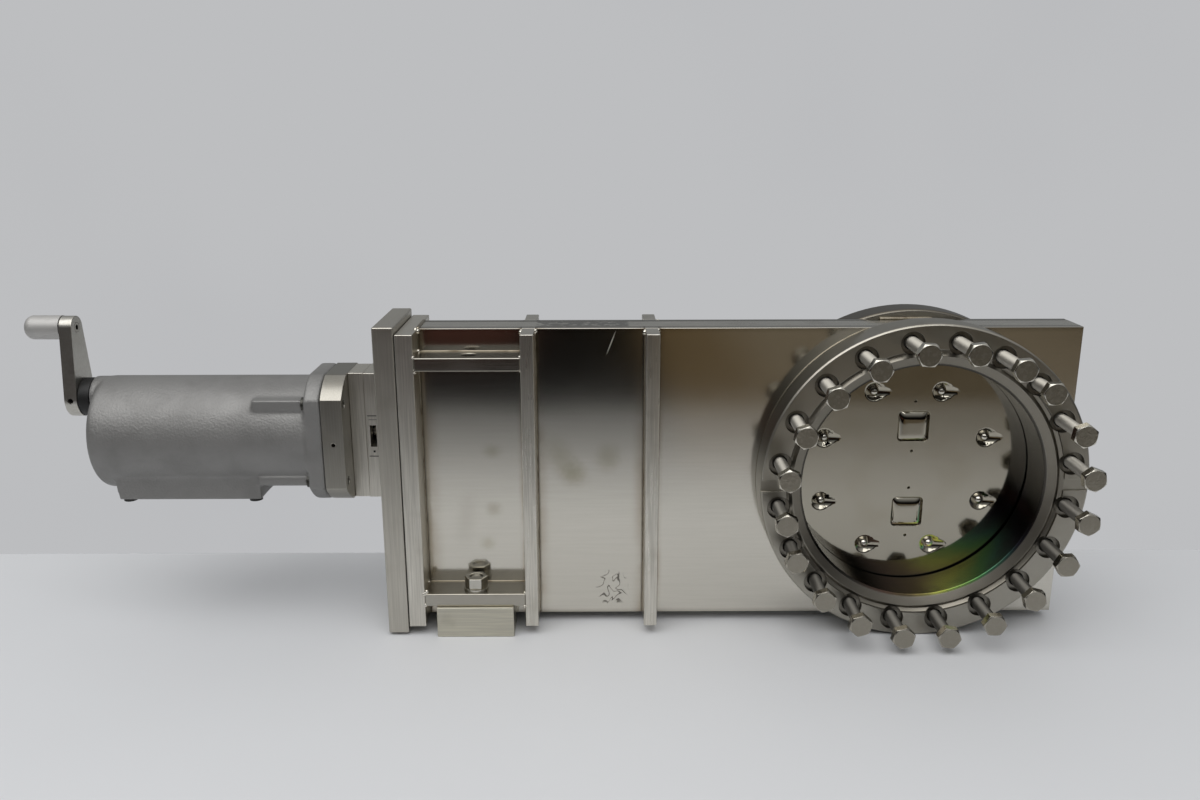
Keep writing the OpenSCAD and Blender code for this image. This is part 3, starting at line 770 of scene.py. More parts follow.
@dataclass(frozen=True)
class TurnedSteel:
    """Turned stainless flange: fine rings round its axis, and a bore that heat has coloured."""

    roughness: float = 0.31
    bore_mm: float = 75.0
    seat_mm: float = 5.0
    circle_mm: float = 90.55
    holes: int = 20
    counterbore_mm: float = 7.2
    # Radii of the gasket recess: where its stain starts and is full, from inside and from outside
    mouth_mm: tuple = ((76.2, 76.8), (86.2, 85.6))
    # The bore's oxide round a turn: dull brown, straw, green, blue, and dull again
    oxide: tuple = (
        (0.16, "#322f2b"),
        (0.22, "#6b4f45"),
        (0.26, "#766b36"),
        (0.30, "#949c3f"),
        (0.345, "#559050"),
        (0.385, "#3e796b"),
        (0.42, "#444257"),
        (0.46, "#2c2a27"),
    )

    def build(self) -> Material:
        """Makes the finish: rings, coloured bore, painted shade in the counterbores and the rear
        flange's brown rim.

        Returns:
            The material.
        """
        coat = Finish("turned_stainless", "#a39f95", self.roughness)
        coat.turned(0.9, 0.003, 0.05, "#a09c92")
        coat.tint(coat.blotches(26, 0.55, 0.8), "#746c5c", 0.3)
        radius = coat.radius()
        off_middle = coat.past(1, MID_Y / MM)
        depth = add(coat.tree, "Math", {0: off_middle}, operation="ABSOLUTE")
        self.colour_bore(coat, radius, depth)
        inner, outer = self.mouth_mm
        mouth = coat.product(coat.level(radius, *inner), coat.level(radius, *outer))
        coat.tint(coat.product(mouth, coat.level(depth, 34.2, 33.4)), "#4d4538", 0.45)
        self.shade_counterbores(coat, radius, depth)
        # The rear flange's rim stayed brown from the welding
        rim = coat.product(coat.level(radius, 99.5, 100.8), coat.level(off_middle, 12.0, 13.0))
        coat.tint(rim, "#463f35", 0.8)
        return coat.close()

    def colour_bore(self, coat: Finish, radius: Socket, depth: Socket) -> None:
        """Adds the bore's heat colours, its stains and painted shade in the gap by the gate's seat.

        Args:
            coat: the finish.
            radius: the distance from the port's axis.
            depth: the distance from the middle plane.
        """
        # The colours run a little askew, and waver by a few degrees, as the heat did
        askew = {0: coat.past(1, -70.0), 1: -1.4, 2: coat.turn()}
        around = add(coat.tree, "Math", askew, operation="MULTIPLY_ADD")
        wavering = {0: coat.blotches(25, 0.2, 0.8, shift=7.0), 1: 0.03, 2: around}
        around = add(coat.tree, "Math", wavering, operation="MULTIPLY_ADD")
        oxide = add(coat.tree, "ValToRGB", {0: around}, stops=self.oxide)
        bore = coat.level(radius, self.bore_mm + 2.0, self.bore_mm + 0.8)
        coat.tint(bore, oxide, 0.9)
        coat.tint(coat.product(bore, coat.blotches(14, 0.45, 0.75, shift=2.0)), "#4f4b44", 0.5)
        coat.gloss(bore, 0.17)
        # Painted shade: the bore turns near black beside the gate's seat, where the narrow gap lies in
        # shade
        gap = coat.level(depth, self.seat_mm + 1.4, self.seat_mm + 0.7)
        coat.tint(coat.product(bore, gap), "#0b0a09")

    def shade_counterbores(self, coat: Finish, radius: Socket, depth: Socket) -> None:
        """Darkens the counterbores round the bolts with painted shade.

        Args:
            coat: the finish.
            radius: the distance from the port's axis.
            depth: the distance from the middle plane.
        """
        # Where a point lies between one pitch line and the next, and how far that is from a hole
        holes_on = coat.product(coat.turn(), float(self.holes))
        part = add(coat.tree, "Math", {0: holes_on}, operation="FRACT")
        share = add(coat.tree, "Math", {0: part, 1: 0.5}, operation="SUBTRACT")
        along = coat.product(share, math.tau / self.holes, radius)
        across = add(coat.tree, "Math", {0: radius, 1: self.circle_mm * MM}, operation="SUBTRACT")
        spot = add(coat.tree, "CombineXYZ", {0: along, 1: across})
        gap = add(coat.tree, "VectorMath", {0: spot}, out="Value", operation="LENGTH")
        inside = coat.level(gap, self.counterbore_mm + 0.3, self.counterbore_mm - 0.1)
        sunk = coat.product(coat.level(depth, 34.9, 34.4), coat.level(depth, 30.0, 31.5))
        # Painted shade: the counterbore floors round the bolts are darkened
        coat.tint(coat.product(inside, sunk), "#3a362f", 0.55)


@dataclass(frozen=True)
class MirrorSteel:
    """Gate disc, polished to a mirror: it shows the bolts and the bore, a little warm and hazy."""

    roughness: float = 0.07

    def build(self) -> Material:
        """Makes the finish.

        Returns:
            The material.
        """
        coat = Finish("polished_gate_steel", "#a8a396", self.roughness)
        coat.gloss(coat.blotches(60, 0.4, 0.75), self.roughness + 0.05, 0.7)
        coat.relief(coat.blotches(38, 0.3, 0.7, detail=1.0, shift=2.0), 0.012)
        coat.tint(coat.blotches(45, 0.5, 0.8, shift=7.0), "#8c8168", 0.3)
        return coat.close()


@dataclass(frozen=True)
class PlainMetal:
    """A metal with an even fine grain: cold headed screws, weld beads, cast or blasted faces."""

    name: str
    colour: str
    roughness: float
    shade: str
    grain_mm: float
    grain_depth_mm: float
    patch_mm: float = 18.0
    patches: float = 0.35
    metallic: float = 1.0

    def build(self) -> Material:
        """Makes the finish.

        Returns:
            The material.
        """
        coat = Finish(self.name, self.colour, self.roughness, self.metallic)
        coat.tint(coat.blotches(self.patch_mm, 0.45, 0.75), self.shade, self.patches)
        coat.gloss(coat.blotches(self.patch_mm * 0.7, 0.4, 0.7, shift=4.0), self.roughness + 0.1, 0.6)
        coat.relief(coat.blotches(self.grain_mm, 0.25, 0.75, detail=2.0), self.grain_depth_mm)
        return coat.close()


@dataclass(frozen=True)
class BoltSteel:
    """Cold headed steel: a dull struck face inside a bright chamfer, darker low on the ring with painted
    shade.
    """

    name: str
    colour: str
    roughness: float
    face_shade: str
    painted_low_shade: str
    # The face is told from the chamfer by how squarely it looks forwards
    square_from: float = -0.93
    square_to: float = -0.985

    def build(self) -> Material:
        """Makes the finish.

        Returns:
            The material.
        """
        coat = Finish(self.name, self.colour, self.roughness)
        normal = add(coat.tree, "TexCoord", out="Normal")
        forwards = add(coat.tree, "SeparateXYZ", {0: normal}, out=1)
        square = {"Value": forwards, "From Min": self.square_from, "From Max": self.square_to}
        face = add(coat.tree, "MapRange", square)
        coat.tint(face, self.face_shade, 0.9)
        coat.tint(coat.product(face, coat.blotches(2.4, 0.5, 0.6)), "#a39e92", 0.45)
        coat.gloss(face, self.roughness + 0.16)
        # Painted shade: the bolts turn darker towards the bottom of the ring
        low = coat.level(coat.past(2, 0.0), 35.0, -30.0)
        coat.tint(low, self.painted_low_shade, 0.75)
        coat.relief(coat.product(face, coat.blotches(1.1, 0.35, 0.65, detail=2.0)), 0.05)
        return coat.close()


@dataclass(frozen=True)
class TurnedAluminium:
    """Aluminium knob, turned along its length: pale, with rings round it."""

    axis_z_mm: float

    def build(self) -> Material:
        """Makes the finish.

        Returns:
            The material.
        """
        coat = Finish("turned_aluminium", "#bfbdba", 0.52, metallic=0.6)
        coat.turned(0.8, 0.004, 0.04, "#a3a29f", centre_z_mm=self.axis_z_mm, axis=0)
        coat.tint(coat.blotches(7, 0.5, 0.8), "#9a9a98", 0.35)
        return coat.close()


@dataclass(frozen=True)
class Plastic:
    """Moulded plastic or rubber: no metal in it, a fine matt grain."""

    name: str
    colour: str
    roughness: float
    shade: str

    def build(self) -> Material:
        """Makes the finish.

        Returns:
            The material.
        """
        coat = Finish(self.name, self.colour, self.roughness, metallic=0.0)
        coat.tint(coat.blotches(6, 0.4, 0.8), self.shade, 0.6)
        coat.relief(coat.blotches(0.7, 0.2, 0.8), 0.01)
        return coat.close()


# ---- Sub-assemblies --------------------------------------------------------------------


@dataclass
class WeldedBody:
    """The flat body: two sheets on three rails, with ribs and bars welded across them."""

    half_height_mm: float = 95.0
    bead_mm: float = 0.9
    # How far a seam ends short of the edges that it runs to
    bead_inset_mm: float = 1.0
    rib_faces_mm: tuple = (-247.65, -239.55, -172.15, -164.05)
    flange_face_mm: float = -311.4
    bar_faces_mm: tuple = (72.6, 80.9)
    bar_depth_mm: float = 17.5
    sheet_y_mm: tuple = (-48.85, -21.15)
    # Only edges in front of the first plane, or behind the second, are eased; the rest are welded
    eased_front_y: float = -0.048
    eased_rear_y: float = -0.027

    def build(self) -> None:
        """Builds the sheets, rails, ribs, bars and their welds."""
        eased_piece(
            "front_sheet",
            "front_plate",
            0.35,
            RolledSheet().build(),
            choose=lambda at: at.y < self.eased_front_y,
        )
        rear = RolledSheet(front=False).build()
        eased_piece("rear_sheet", "rear_plate", 0.35, rear)
        rail = GroundSteel(
            "ground_rail",
            "#dad7cf",
            0.24,
            Grain.ALONG_X,
            joints_mm=(-43.85, -26.15),
            inked_mm=((-240.0, -238.0), (-181.0, -183.5)),
        ).build()
        for node in ("top_rail", "bottom_rail", "end_rail"):
            eased_piece(node + "_ground", node, 0.2, rail, choose=lambda at: at.y > self.eased_rear_y)
        ground = GroundSteel("ground_stainless", "#dad6cc").build()
        for node in ("front_ribs", "rear_ribs"):
            eased_piece(node + "_ground", node, 0.5, ground)
        polished = GroundSteel("polished_bar", "#a9a59b", 0.21, Grain.ALONG_X, 0.4, 0.001).build()
        for node in ("front_top_bar", "front_bottom_bar", "rear_top_bar", "rear_bottom_bar"):
            eased_piece(node + "_ground", node, 0.7, polished, segments=3)
        self.weld()
        self.tack()

    def weld(self) -> None:
        """Lays the seams along the ribs, bars and flange."""
        beads = bmesh.new()
        tops = self.half_height_mm * MM
        low, high = self.flange_face_mm, self.rib_faces_mm[0]
        inset = self.bead_inset_mm * MM
        for side, sheet in zip((-1, 1), self.sheet_y_mm):
            for x_mm in self.rib_faces_mm + (low,):
                start = Vector((x_mm * MM, sheet * MM, inset - tops))
                run = Vector((0, 0, 2 * (tops - inset)))
                self.lay(beads, start, start + run, self.bead_mm * 0.8)
            for z_mm in self.bar_faces_mm + tuple(-z_mm for z_mm in self.bar_faces_mm):
                start = Vector((low * MM + inset, sheet * MM, z_mm * MM))
                run = Vector(((high - low) * MM - 2 * inset, 0, 0))
                self.lay(beads, start, start + run, self.bead_mm * 0.75)
                for x_mm in (low, high):
                    foot = Vector((x_mm, sheet + side * 1.5, z_mm)) * MM
                    rim = Vector((x_mm, sheet + side * self.bar_depth_mm, z_mm)) * MM
                    self.lay(beads, foot, rim, self.bead_mm)
        # Across the body's top and bottom, where it meets the body flange
        for z in (0.0003 - tops, tops - 0.0003):
            start = Vector((low * MM, self.sheet_y_mm[0] * MM + inset, z))
            self.lay(beads, start, start + Vector((0, 0.0257, 0)), self.bead_mm * 1.6)
        # Where the rear flange stands above the body's edge, its seam shows bright from the front
        crown = Vector((-0.022, (self.sheet_y_mm[1] - 0.9) * MM, tops + 0.0004))
        self.lay(beads, crown, crown + Vector((0.034, 0, 0)), 1.2)
        browned = PlainMetal("weld_metal", "#968e7e", 0.3, "#4d3d28", 1.4, 0.02, 9.0, 0.8).build()
        place_piece("body_welds", beads, browned, sharp_deg=60)

    def lay(self, beads: Shape, start: Vector, end: Vector, radius_mm: float) -> None:
        """Adds one bead to the others.

        Args:
            beads: the bmesh that holds them.
            start: the bead's first point, in metres.
            end: its last point.
            radius_mm: half its thickness.
        """
        bead = weld_bead(start, end, radius_mm)
        join_into(beads, bead)
        bead.free()

    def tack(self) -> None:
        """Sets the bright blobs of weld metal at the bars' corners and at the ribs' tops."""
        chance = random.Random(3)
        blobs = bmesh.new()
        low, high = self.flange_face_mm, self.rib_faces_mm[0]
        sides = tuple(zip((-1, 1), self.sheet_y_mm))
        spots = [
            (x_mm, sheet + side * out, end * z_mm, 1.5 if x_mm == low else 1.1)
            for side, sheet in sides
            for x_mm in (low, high)
            for out in (1.0, 18.2)
            for end in (-1, 1)
            for z_mm in self.bar_faces_mm
        ]
        spots += [
            (x_mm, sheet + side * 0.4, self.half_height_mm - 1.5, 1.6)
            for side, sheet in sides
            for x_mm in self.rib_faces_mm + (low,)
        ]
        for x_mm, y_mm, z_mm, radius_mm in spots:
            # The first lump is on the spot, and two more stray from it
            for lump in range(3):
                size = Vector([chance.uniform(0.6, 1.1) for _ in range(3)]) * radius_mm * MM
                stray = [chance.uniform(-0.7, 0.7) * radius_mm * (lump > 0) for _ in range(3)]
                at = Matrix.Translation((Vector((x_mm, y_mm, z_mm)) + Vector(stray)) * MM)
                bmesh.ops.create_icosphere(
                    blobs, subdivisions=3, radius=1.0, matrix=at @ Matrix.Diagonal((*size, 1.0))
                )
        bright = PlainMetal("bright_weld_metal", "#d9d5ca", 0.12, "#a8a08e", 1.6, 0.03, 3.0, 0.5).build()
        place_piece("weld_tacks", blobs, bright, sharp_deg=60)


@dataclass
class PortFlanges:
    """The two port flanges and the ring of loose bolts in the front one."""

    count: int = 20
    circle_mm: float = 90.55
    face_mm: float = 35.0
    # How far the heads stand off the flange; two bolts are deeper in, and the upper ones further out
    stand_off_mm: float = 30.3
    lift_mm: float = 2.7
    deep: tuple = (2, 11)
    deep_off_mm: float = 23.0
    lean_deg: float = 0.7
    head_w_mm: float = 13.0
    head_h_mm: float = 5.3
    head_steps: int = 48
    crown_share: float = 0.95
    chamfer_deg: float = 30.0
    washer_r_mm: float = 5.9
    washer_h_mm: float = 0.4
    bolt_l_mm: float = 36.0
    pitch_mm: float = 1.25
    root_r_mm: float = 3.38
    crest_r_mm: float = 3.98

    def build(self) -> None:
        """Builds both flanges and the bolts."""
        turned = TurnedSteel().build()
        for node in ("front_flange", "rear_flange"):
            eased_piece(node + "_turned", node, 0.3, turned)
        self.screw_in()

    def head(self) -> Shape:
        """One hexagon head, its outer corners turned to a chamfer, with a washer face under it.

        Returns:
            The head; Z runs out of its face, which is at the origin.
        """
        flat = self.head_w_mm / 2
        crown = flat * self.crown_share
        slope = math.tan(math.radians(self.chamfer_deg))
        shape = bmesh.new()
        bmesh.ops.create_circle(shape, cap_ends=True, segments=self.head_steps, radius=crown * MM)
        rim = [edge for edge in shape.edges if edge.is_boundary]
        # The rim goes down the chamfer to the hexagon's faces, and then to the head's underside
        for chamfer in (True, False):
            grown = bmesh.ops.extrude_edge_only(shape, edges=rim)["geom"]
            rim = [item for item in grown if isinstance(item, bmesh.types.BMEdge)]
            for vert in {vert for edge in rim for vert in edge.verts}:
                angle = math.atan2(vert.co.y, vert.co.x)
                reach = flat / math.cos((angle % (math.pi / 3)) - math.pi / 6)
                fall = (reach - crown) * slope if chamfer else self.head_h_mm
                vert.co = Vector((reach * math.cos(angle), reach * math.sin(angle), -fall)) * MM
        rim = [edge for edge in shape.edges if edge.is_boundary]
        bmesh.ops.holes_fill(shape, edges=rim, sides=0)
        bmesh.ops.recalc_face_normals(shape, faces=shape.faces)
        corners = [
            edge for edge in shape.edges if len(edge.link_faces) == 2 and edge.calc_face_angle(0) > 0.8
        ]
        bevel(shape, corners, 0.2, 1, clamp=True)
        low, wide = -self.washer_h_mm, self.washer_r_mm
        washer = spun(
            [(-0.01, 0), (-0.01, wide), (low, wide), (low, 0)],
            32,
            Matrix.Translation((0, 0, -self.head_h_mm * MM)),
        )
        join_into(shape, washer)
        washer.free()
        return shape

    def shank(self) -> Shape:
        """One threaded shank, pointed a little at its end.

        Returns:
            The shank; Z runs towards the head, whose face is at the origin.
        """
        under = -self.head_h_mm
        end = under - self.bolt_l_mm
        profile = [(end, 0.0), (end, 3.0)]
        along = end + 0.7
        while along < under - 1.6:
            profile += [(along, self.root_r_mm), (along + self.pitch_mm * 0.5, self.crest_r_mm)]
            along += self.pitch_mm
        profile += [(under - 1.2, 3.9), (under + 0.1, 3.95), (under + 0.1, 0.0)]
        return spun(profile, 28, Matrix.Identity(4))

    def screw_in(self) -> None:
        """Sets the bolts round the front flange, each turned and leaning a little its own way."""
        chance = random.Random(7)
        head, shank = self.head(), self.shank()
        heads, shanks = bmesh.new(), bmesh.new()
        face_y_mm = MID_Y / MM - self.face_mm
        for index in range(self.count):
            angle = math.tau / self.count * (index + 0.5)
            across, up = self.circle_mm * math.cos(angle), self.circle_mm * math.sin(angle)
            out = self.stand_off_mm + self.lift_mm * math.sin(angle)
            if index in self.deep:
                out = self.deep_off_mm
            lean = Vector((chance.uniform(-1, 1), 0, chance.uniform(-1.4, 0.2)))
            along = (Vector((0, -1, 0)) + lean * math.radians(self.lean_deg)).normalized()
            at = Vector((across, face_y_mm, up)) * MM + along * out * MM
            place = aimed(at, along, chance.uniform(0, 60))
            join_into(heads, head, place)
            join_into(shanks, shank, place)
        head.free()
        shank.free()
        struck = BoltSteel("cold_headed_stainless", "#cbc7bc", 0.2, "#858074", "#9a958a").build()
        rolled = BoltSteel("rolled_thread_stainless", "#a5a198", 0.5, "#a5a198", "#2b2925").build()
        place_piece("bolt_heads", heads, struck, "valve", ("flange_bolts",), sharp_deg=24)
        place_piece("bolt_shanks", shanks, rolled, "valve", sharp_deg=24)


@dataclass
class Feet:
    """The two foot blocks with their studs, washers and nuts."""

    block_ease_mm: float = 0.6
    # Each fastener and how far its edges are eased
    fasteners: tuple = (("foot_nuts", 0.45), ("foot_washers", 0.2), ("foot_studs", 0.5))

    def build(self) -> None:
        """Builds the blocks and their fasteners."""
        block = GroundSteel("foot_stainless", "#c8c4b4", 0.3, Grain.ALONG_X, 0.55).build()
        for node in ("front_foot", "rear_foot"):
            eased_piece(node + "_ground", node, self.block_ease_mm, block)
        steel = PlainMetal("plated_fastener", "#c2bfb6", 0.2, "#8d887b", 1.0, 0.008, 6.0, 0.4).build()
        for node, ease_mm in self.fasteners:
            eased_piece(node + "_eased", node, ease_mm, steel)


@dataclass
class Bonnet:
    """The body flange, gasket and bonnet plate with their screws, the neck and the adapter."""

    slot_z_mm: tuple = (19.6, 33.6)
    slot_x_mm: float = -341.9
    slot_reach_mm: float = 4.0
    neck_y_mm: float = -48.85

    def off_slot(self, at: Vector) -> bool:
        """Says whether an edge of the neck is away from the position slot, whose edges stay sharp."""
        low, high = self.slot_z_mm
        beside = abs(at.x / MM - self.slot_x_mm) > self.slot_reach_mm
        return beside or not low - 2 < at.z / MM < high + 2

    def build(self) -> None:
        """Builds the plates, the neck and the adapter."""
        flange = GroundSteel("ground_body_flange", "#d8d4ca", 0.32).build()
        eased_piece("body_flange_ground", "body_flange", 0.5, flange)
        plate = GroundSteel("brushed_bonnet_plate", "#c2beb4", 0.34, Grain.ALONG_Z, 0.25, 0.004).build()
        eased_piece("bonnet_plate_brushed", "bonnet_plate", 0.9, plate)
        neck = GroundSteel("ground_neck", "#d9d5cb", 0.34, Grain.ALONG_Z, 0.3).build()
        for node in ("neck_block", "neck_spacer"):
            eased_piece(node + "_ground", node, 0.4, neck, choose=self.off_slot)
        adapter = GroundSteel("brushed_adapter", "#98958d", 0.3, Grain.ALONG_Z, 0.3).build()
        eased_piece("adapter_brushed", "adapter_plate", 0.5, adapter)
        dress("bonnet_gasket", Plastic("gasket_rubber", "#2c2b29", 0.6, "#3b3934").build())
        screws = PlainMetal("socket_screw_steel", "#a9a69d", 0.28, "#77736a", 1.0, 0.01).build()
        dress("bonnet_screws", screws)
        self.scribe()

    def scribe(self) -> None:
        """Lays the fine dark ticks and the dot beside the position slot, as thin bars in painted shade
        of scribed marks.
        """
        marks = bmesh.new()
        low, high = self.slot_z_mm
        # Each mark's height on the neck, its width and its thickness
        ticks = (
            (high + 6.2, 6.6, 0.55),
            (high + 3.7, 5.2, 0.25),
            (low - 6.2, 6.6, 0.5),
            (low - 3.1, 1.3, 1.3),
        )
        for z_mm, wide_mm, high_mm in ticks:
            bar = bmesh.new()
            bmesh.ops.create_cube(bar, size=1.0)
            size = Matrix.Diagonal((wide_mm * MM, 0.16 * MM, high_mm * MM, 1.0))
            at = Matrix.Translation(Vector((self.slot_x_mm, self.neck_y_mm - 0.02, z_mm)) * MM)
            bmesh.ops.transform(bar, matrix=at @ size, verts=bar.verts)
            bevel(bar, bar.edges, 0.04, 1)
            join_into(marks, bar)
            bar.free()
        # Painted shade: the ticks are as dark as the shade inside scribed grooves
        shadow = Plastic("engraving_shadow", "#1b1a18", 0.7, "#2a2824").build()
        place_piece("position_ticks", marks, shadow)


@dataclass
class Actuator:
    """The cast actuator casing with its screws and pads."""

    voxel_mm: float = 1.0
    smoothing: int = 6

    def build(self) -> None:
        """Builds the casting and dresses what is screwed to it."""
        aluminium = PlainMetal(
            "blasted_cast_aluminium", "#8b8a88", 0.52, "#757472", 1.4, 0.1, 24.0, 0.45, metallic=0.65
        ).build()
        casing = self.cast("actuator_casing")
        stood_for = ("actuator_casing",)
        place_piece("casing_cast", casing, aluminium, "valve", stood_for, sharp_deg=180)
        screws = PlainMetal("casing_screw_steel", "#4b4a46", 0.4, "#2e2c29", 1.0, 0.01).build()
        dress("casing_screws", screws)
        dress("casing_pads", Plastic("pad_rubber", "#22221f", 0.6, "#2f2e2a").build())

    def cast(self, node: str) -> Shape:
        """Remeshes a solid evenly and smooths it, which gives every edge the soft fillet of a casting.

        Args:
            node: the solid's name.

        Returns:
            The smoothed copy.
        """
        shape = merged_copy(node)
        mesh = bpy.data.meshes.new("casting")
        shape.to_mesh(mesh)
        shape.free()
        solid = bpy.data.objects.new("casting", mesh)
        bpy.context.scene.collection.objects.link(solid)
        even = solid.modifiers.new("even", "REMESH")
        even.mode = "VOXEL"
        even.voxel_size = self.voxel_mm * MM
        ready = solid.evaluated_get(bpy.context.evaluated_depsgraph_get()).to_mesh()
        shape = bmesh.new()
        shape.from_mesh(ready)
        bpy.data.objects.remove(solid)
        for _ in range(self.smoothing):
            bmesh.ops.smooth_vert(
                shape, verts=shape.verts, factor=0.5, use_axis_x=True, use_axis_y=True, use_axis_z=True
            )
        return shape


@dataclass
class Crank:
    """The hand crank: a plastic hub, a steel arm and a turned knob on its axle."""

    crank_z_mm: float = 49.4
    knob_z_mm: float = 93.8
    # Edges nearer to an axis than this are a hole's
    hub_bore_mm: float = 7.6
    axle_bore_mm: float = 3.6
    arm_faces_mm: tuple = (-533.4, -525.4)

    def on_outline(self, at: Vector) -> bool:
        """Says whether an edge of the arm is on its outline, and not round a hole.

        Args:
            at: the edge's middle.

        Returns:
            Whether it is eased.
        """
        off_face = min(abs(at.x / MM - face_mm) for face_mm in self.arm_faces_mm)
        from_crank = math.hypot(at.y - MID_Y, at.z - self.crank_z_mm * MM) / MM
        from_knob = math.hypot(at.y - MID_Y, at.z - self.knob_z_mm * MM) / MM
        return off_face < 0.2 and from_crank > self.hub_bore_mm and from_knob > self.axle_bore_mm

    def build(self) -> None:
        """Builds the arm and the hub, and dresses the rest."""
        steel = GroundSteel("milled_crank_steel", "#bdbbb4", 0.3, Grain.CROSSED, 0.25, 0.0008).build()
        eased_piece(
            "crank_arm_milled",
            "crank_arm",
            0.5,
            steel,
            body="crank",
            choose=self.on_outline,
        )
        black = Plastic("black_plastic", "#0b0b0a", 0.55, "#161615").build()
        eased_piece("crank_hub_moulded", "crank_hub", 0.6, black, body="crank")
        screw = PlainMetal("blackened_screw", "#3a3937", 0.35, "#24221f", 1.0, 0.01).build()
        dress("crank_set_screw", screw)
        dress("knob_axle", PlainMetal("axle_steel", "#b0ada4", 0.22, "#8c877b", 1.0, 0.006).build())
        dress("crank_knob", TurnedAluminium(self.knob_z_mm).build())


@dataclass
class Gate:
    """The sliding gate: two polished discs with ball cups, a carriage and the stem."""

    face_mm: float = 4.1
    cups: int = 8
    ring_mm: float = 56.0
    ring_x_mm: float = -5.0
    # The ring that the cups' edges lie in, and the strip beside the upright axis that holds pockets
    cup_band_mm: tuple = (49.0, 69.0)
    pocket_strip_mm: float = 2.5
    ball_mm: float = 3.2
    ball_depth_mm: float = 2.7
    pocket_mm: float = 20.0
    pocket_corner_mm: float = 3.0
    pocket_gap_mm: float = 0.02
    pocket_z_mm: float = 29.0
    pocket_sunk_mm: float = 1.8
    pocket_rise_mm: float = 2.3
    # How steeply a cushion falls to its upper, lower and side edges: a high power is steep
    falls: tuple = (3.4, 9.0, 5.0)

    def build(self) -> None:
        """Builds the discs, the cushions and the balls, and dresses the carriage and the stem."""
        mirror = MirrorSteel().build()
        for node in ("gate_front_disc", "gate_rear_disc"):
            shape = merged_copy(node)
            ease(shape, 0.8, 4, self.by_cup)
            ease(shape, 0.3, 2, lambda at: not self.by_cup(at))
            place_piece(node + "_polished", shape, mirror, "gate", (node,), sharp_deg=50)
        self.press_pockets(mirror)
        self.seat_balls()
        plain = PlainMetal("gate_carriage_steel", "#a6a298", 0.28, "#7c766a", 1.0, 0.01).build()
        dress("gate_carriage", plain)
        dress("gate_stem", plain)

    def by_cup(self, at: Vector) -> bool:
        """Says whether a point belongs to one of the ball cups."""
        near, far = self.cup_band_mm
        out = math.hypot(at.x / MM - self.ring_x_mm, at.z / MM)
        return near < out < far and abs(at.x) > self.pocket_strip_mm * MM

    def press_pockets(self, finish: Material) -> None:
        """Fills the square pockets of both discs with the cushions pressed up in them.

        Args:
            finish: the discs' own polish.
        """
        pans = bmesh.new()
        for side in (-1, 1):
            for middle_z in (-self.pocket_z_mm, self.pocket_z_mm):
                pan = self.cushion(side, middle_z)
                join_into(pans, pan)
                pan.free()
        place_piece("gate_pocket_pans", pans, finish, "gate", sharp_deg=60)

    def pocket_outline(self) -> list[tuple[float, float]]:
        """The outline of a pocket, as a square with round corners.

        Returns:
            (x, z) in millimetres from the pocket's middle, round a full turn.
        """
        side_steps, corner_steps = 5, 7
        corner = self.pocket_corner_mm
        inner = self.pocket_mm / 2 - self.pocket_gap_mm - corner
        first = [(inner + corner, (2 * step / side_steps - 1) * inner) for step in range(side_steps)]
        for step in range(corner_steps):
            angle = math.pi / 2 * step / corner_steps
            first.append((inner + corner * math.cos(angle), inner + corner * math.sin(angle)))
        outline = []
        for quarter in range(4):
            turn = Matrix.Rotation(math.pi / 2 * quarter, 2)
            outline += [tuple(turn @ Vector(spot)) for spot in first]
        return outline

    def cushion(self, side: int, middle_z_mm: float) -> Shape:
        """One cushion: it falls slowly to its upper edge and sharply to its lower one.

        Args:
            side: -1 for the front disc, 1 for the rear one.
            middle_z_mm: the pocket's height.

        Returns:
            The cushion, looking out of its disc.
        """
        rings = 14
        outline = self.pocket_outline()
        reach = self.pocket_mm / 2 - self.pocket_gap_mm
        above, below, beside = self.falls
        pan = bmesh.new()
        bmesh.ops.create_circle(pan, segments=len(outline), radius=1.0)
        for vert, spot in zip(pan.verts, outline):
            vert.co = Vector((spot[0], 0.0, spot[1]))
        # The rim is drawn in, ring by ring, until it meets in the middle
        rim = list(pan.edges)
        for ring in range(rings, 0, -1):
            grown = bmesh.ops.extrude_edge_only(pan, edges=rim)["geom"]
            rim = [item for item in grown if isinstance(item, bmesh.types.BMEdge)]
            shrink = (ring - 1) / ring
            loop = list({vert for edge in rim for vert in edge.verts})
            bmesh.ops.scale(pan, vec=(shrink, shrink, shrink), verts=loop)
        bmesh.ops.remove_doubles(pan, verts=pan.verts, dist=0.001)
        for vert in pan.verts:
            across, along = vert.co.x, vert.co.z
            bulge = 1 - abs(along / reach) ** (above if along > 0 else below)
            bulge *= 1 - abs(across / reach) ** beside
            proud_mm = self.pocket_rise_mm * bulge - self.pocket_sunk_mm
            y_mm = MID_Y / MM + side * (self.face_mm + proud_mm)
            vert.co = Vector((across, y_mm, middle_z_mm + along)) * MM
        bmesh.ops.recalc_face_normals(pan, faces=pan.faces)
        if sum(face.normal.y * face.calc_area() for face in pan.faces) * side < 0:
            bmesh.ops.reverse_faces(pan, faces=pan.faces)
        return pan

    def seat_balls(self) -> None:
        """Seats a bright ball in each cup, just proud of the disc's face."""
        balls = bmesh.new()
        for side in (-1, 1):
            y_mm = MID_Y / MM + side * (self.face_mm - self.ball_depth_mm)
            for index in range(self.cups):
                angle = math.tau / self.cups * (index + 0.5)
                x_mm = self.ring_x_mm + self.ring_mm * math.cos(angle)
                z_mm = self.ring_mm * math.sin(angle)
                bmesh.ops.create_uvsphere(
                    balls,
                    u_segments=24,
                    v_segments=14,
                    radius=self.ball_mm * MM,
                    matrix=Matrix.Translation(Vector((x_mm, y_mm, z_mm)) * MM),
                )
        steel = PlainMetal("ball_steel", "#d3cfc5", 0.16, "#a9a292", 2.0, 0.0005, 4.0, 0.2).build()
        place_piece("gate_balls", balls, steel, "gate", sharp_deg=60)


# ---- Studio ----------------------------------------------------------------------------


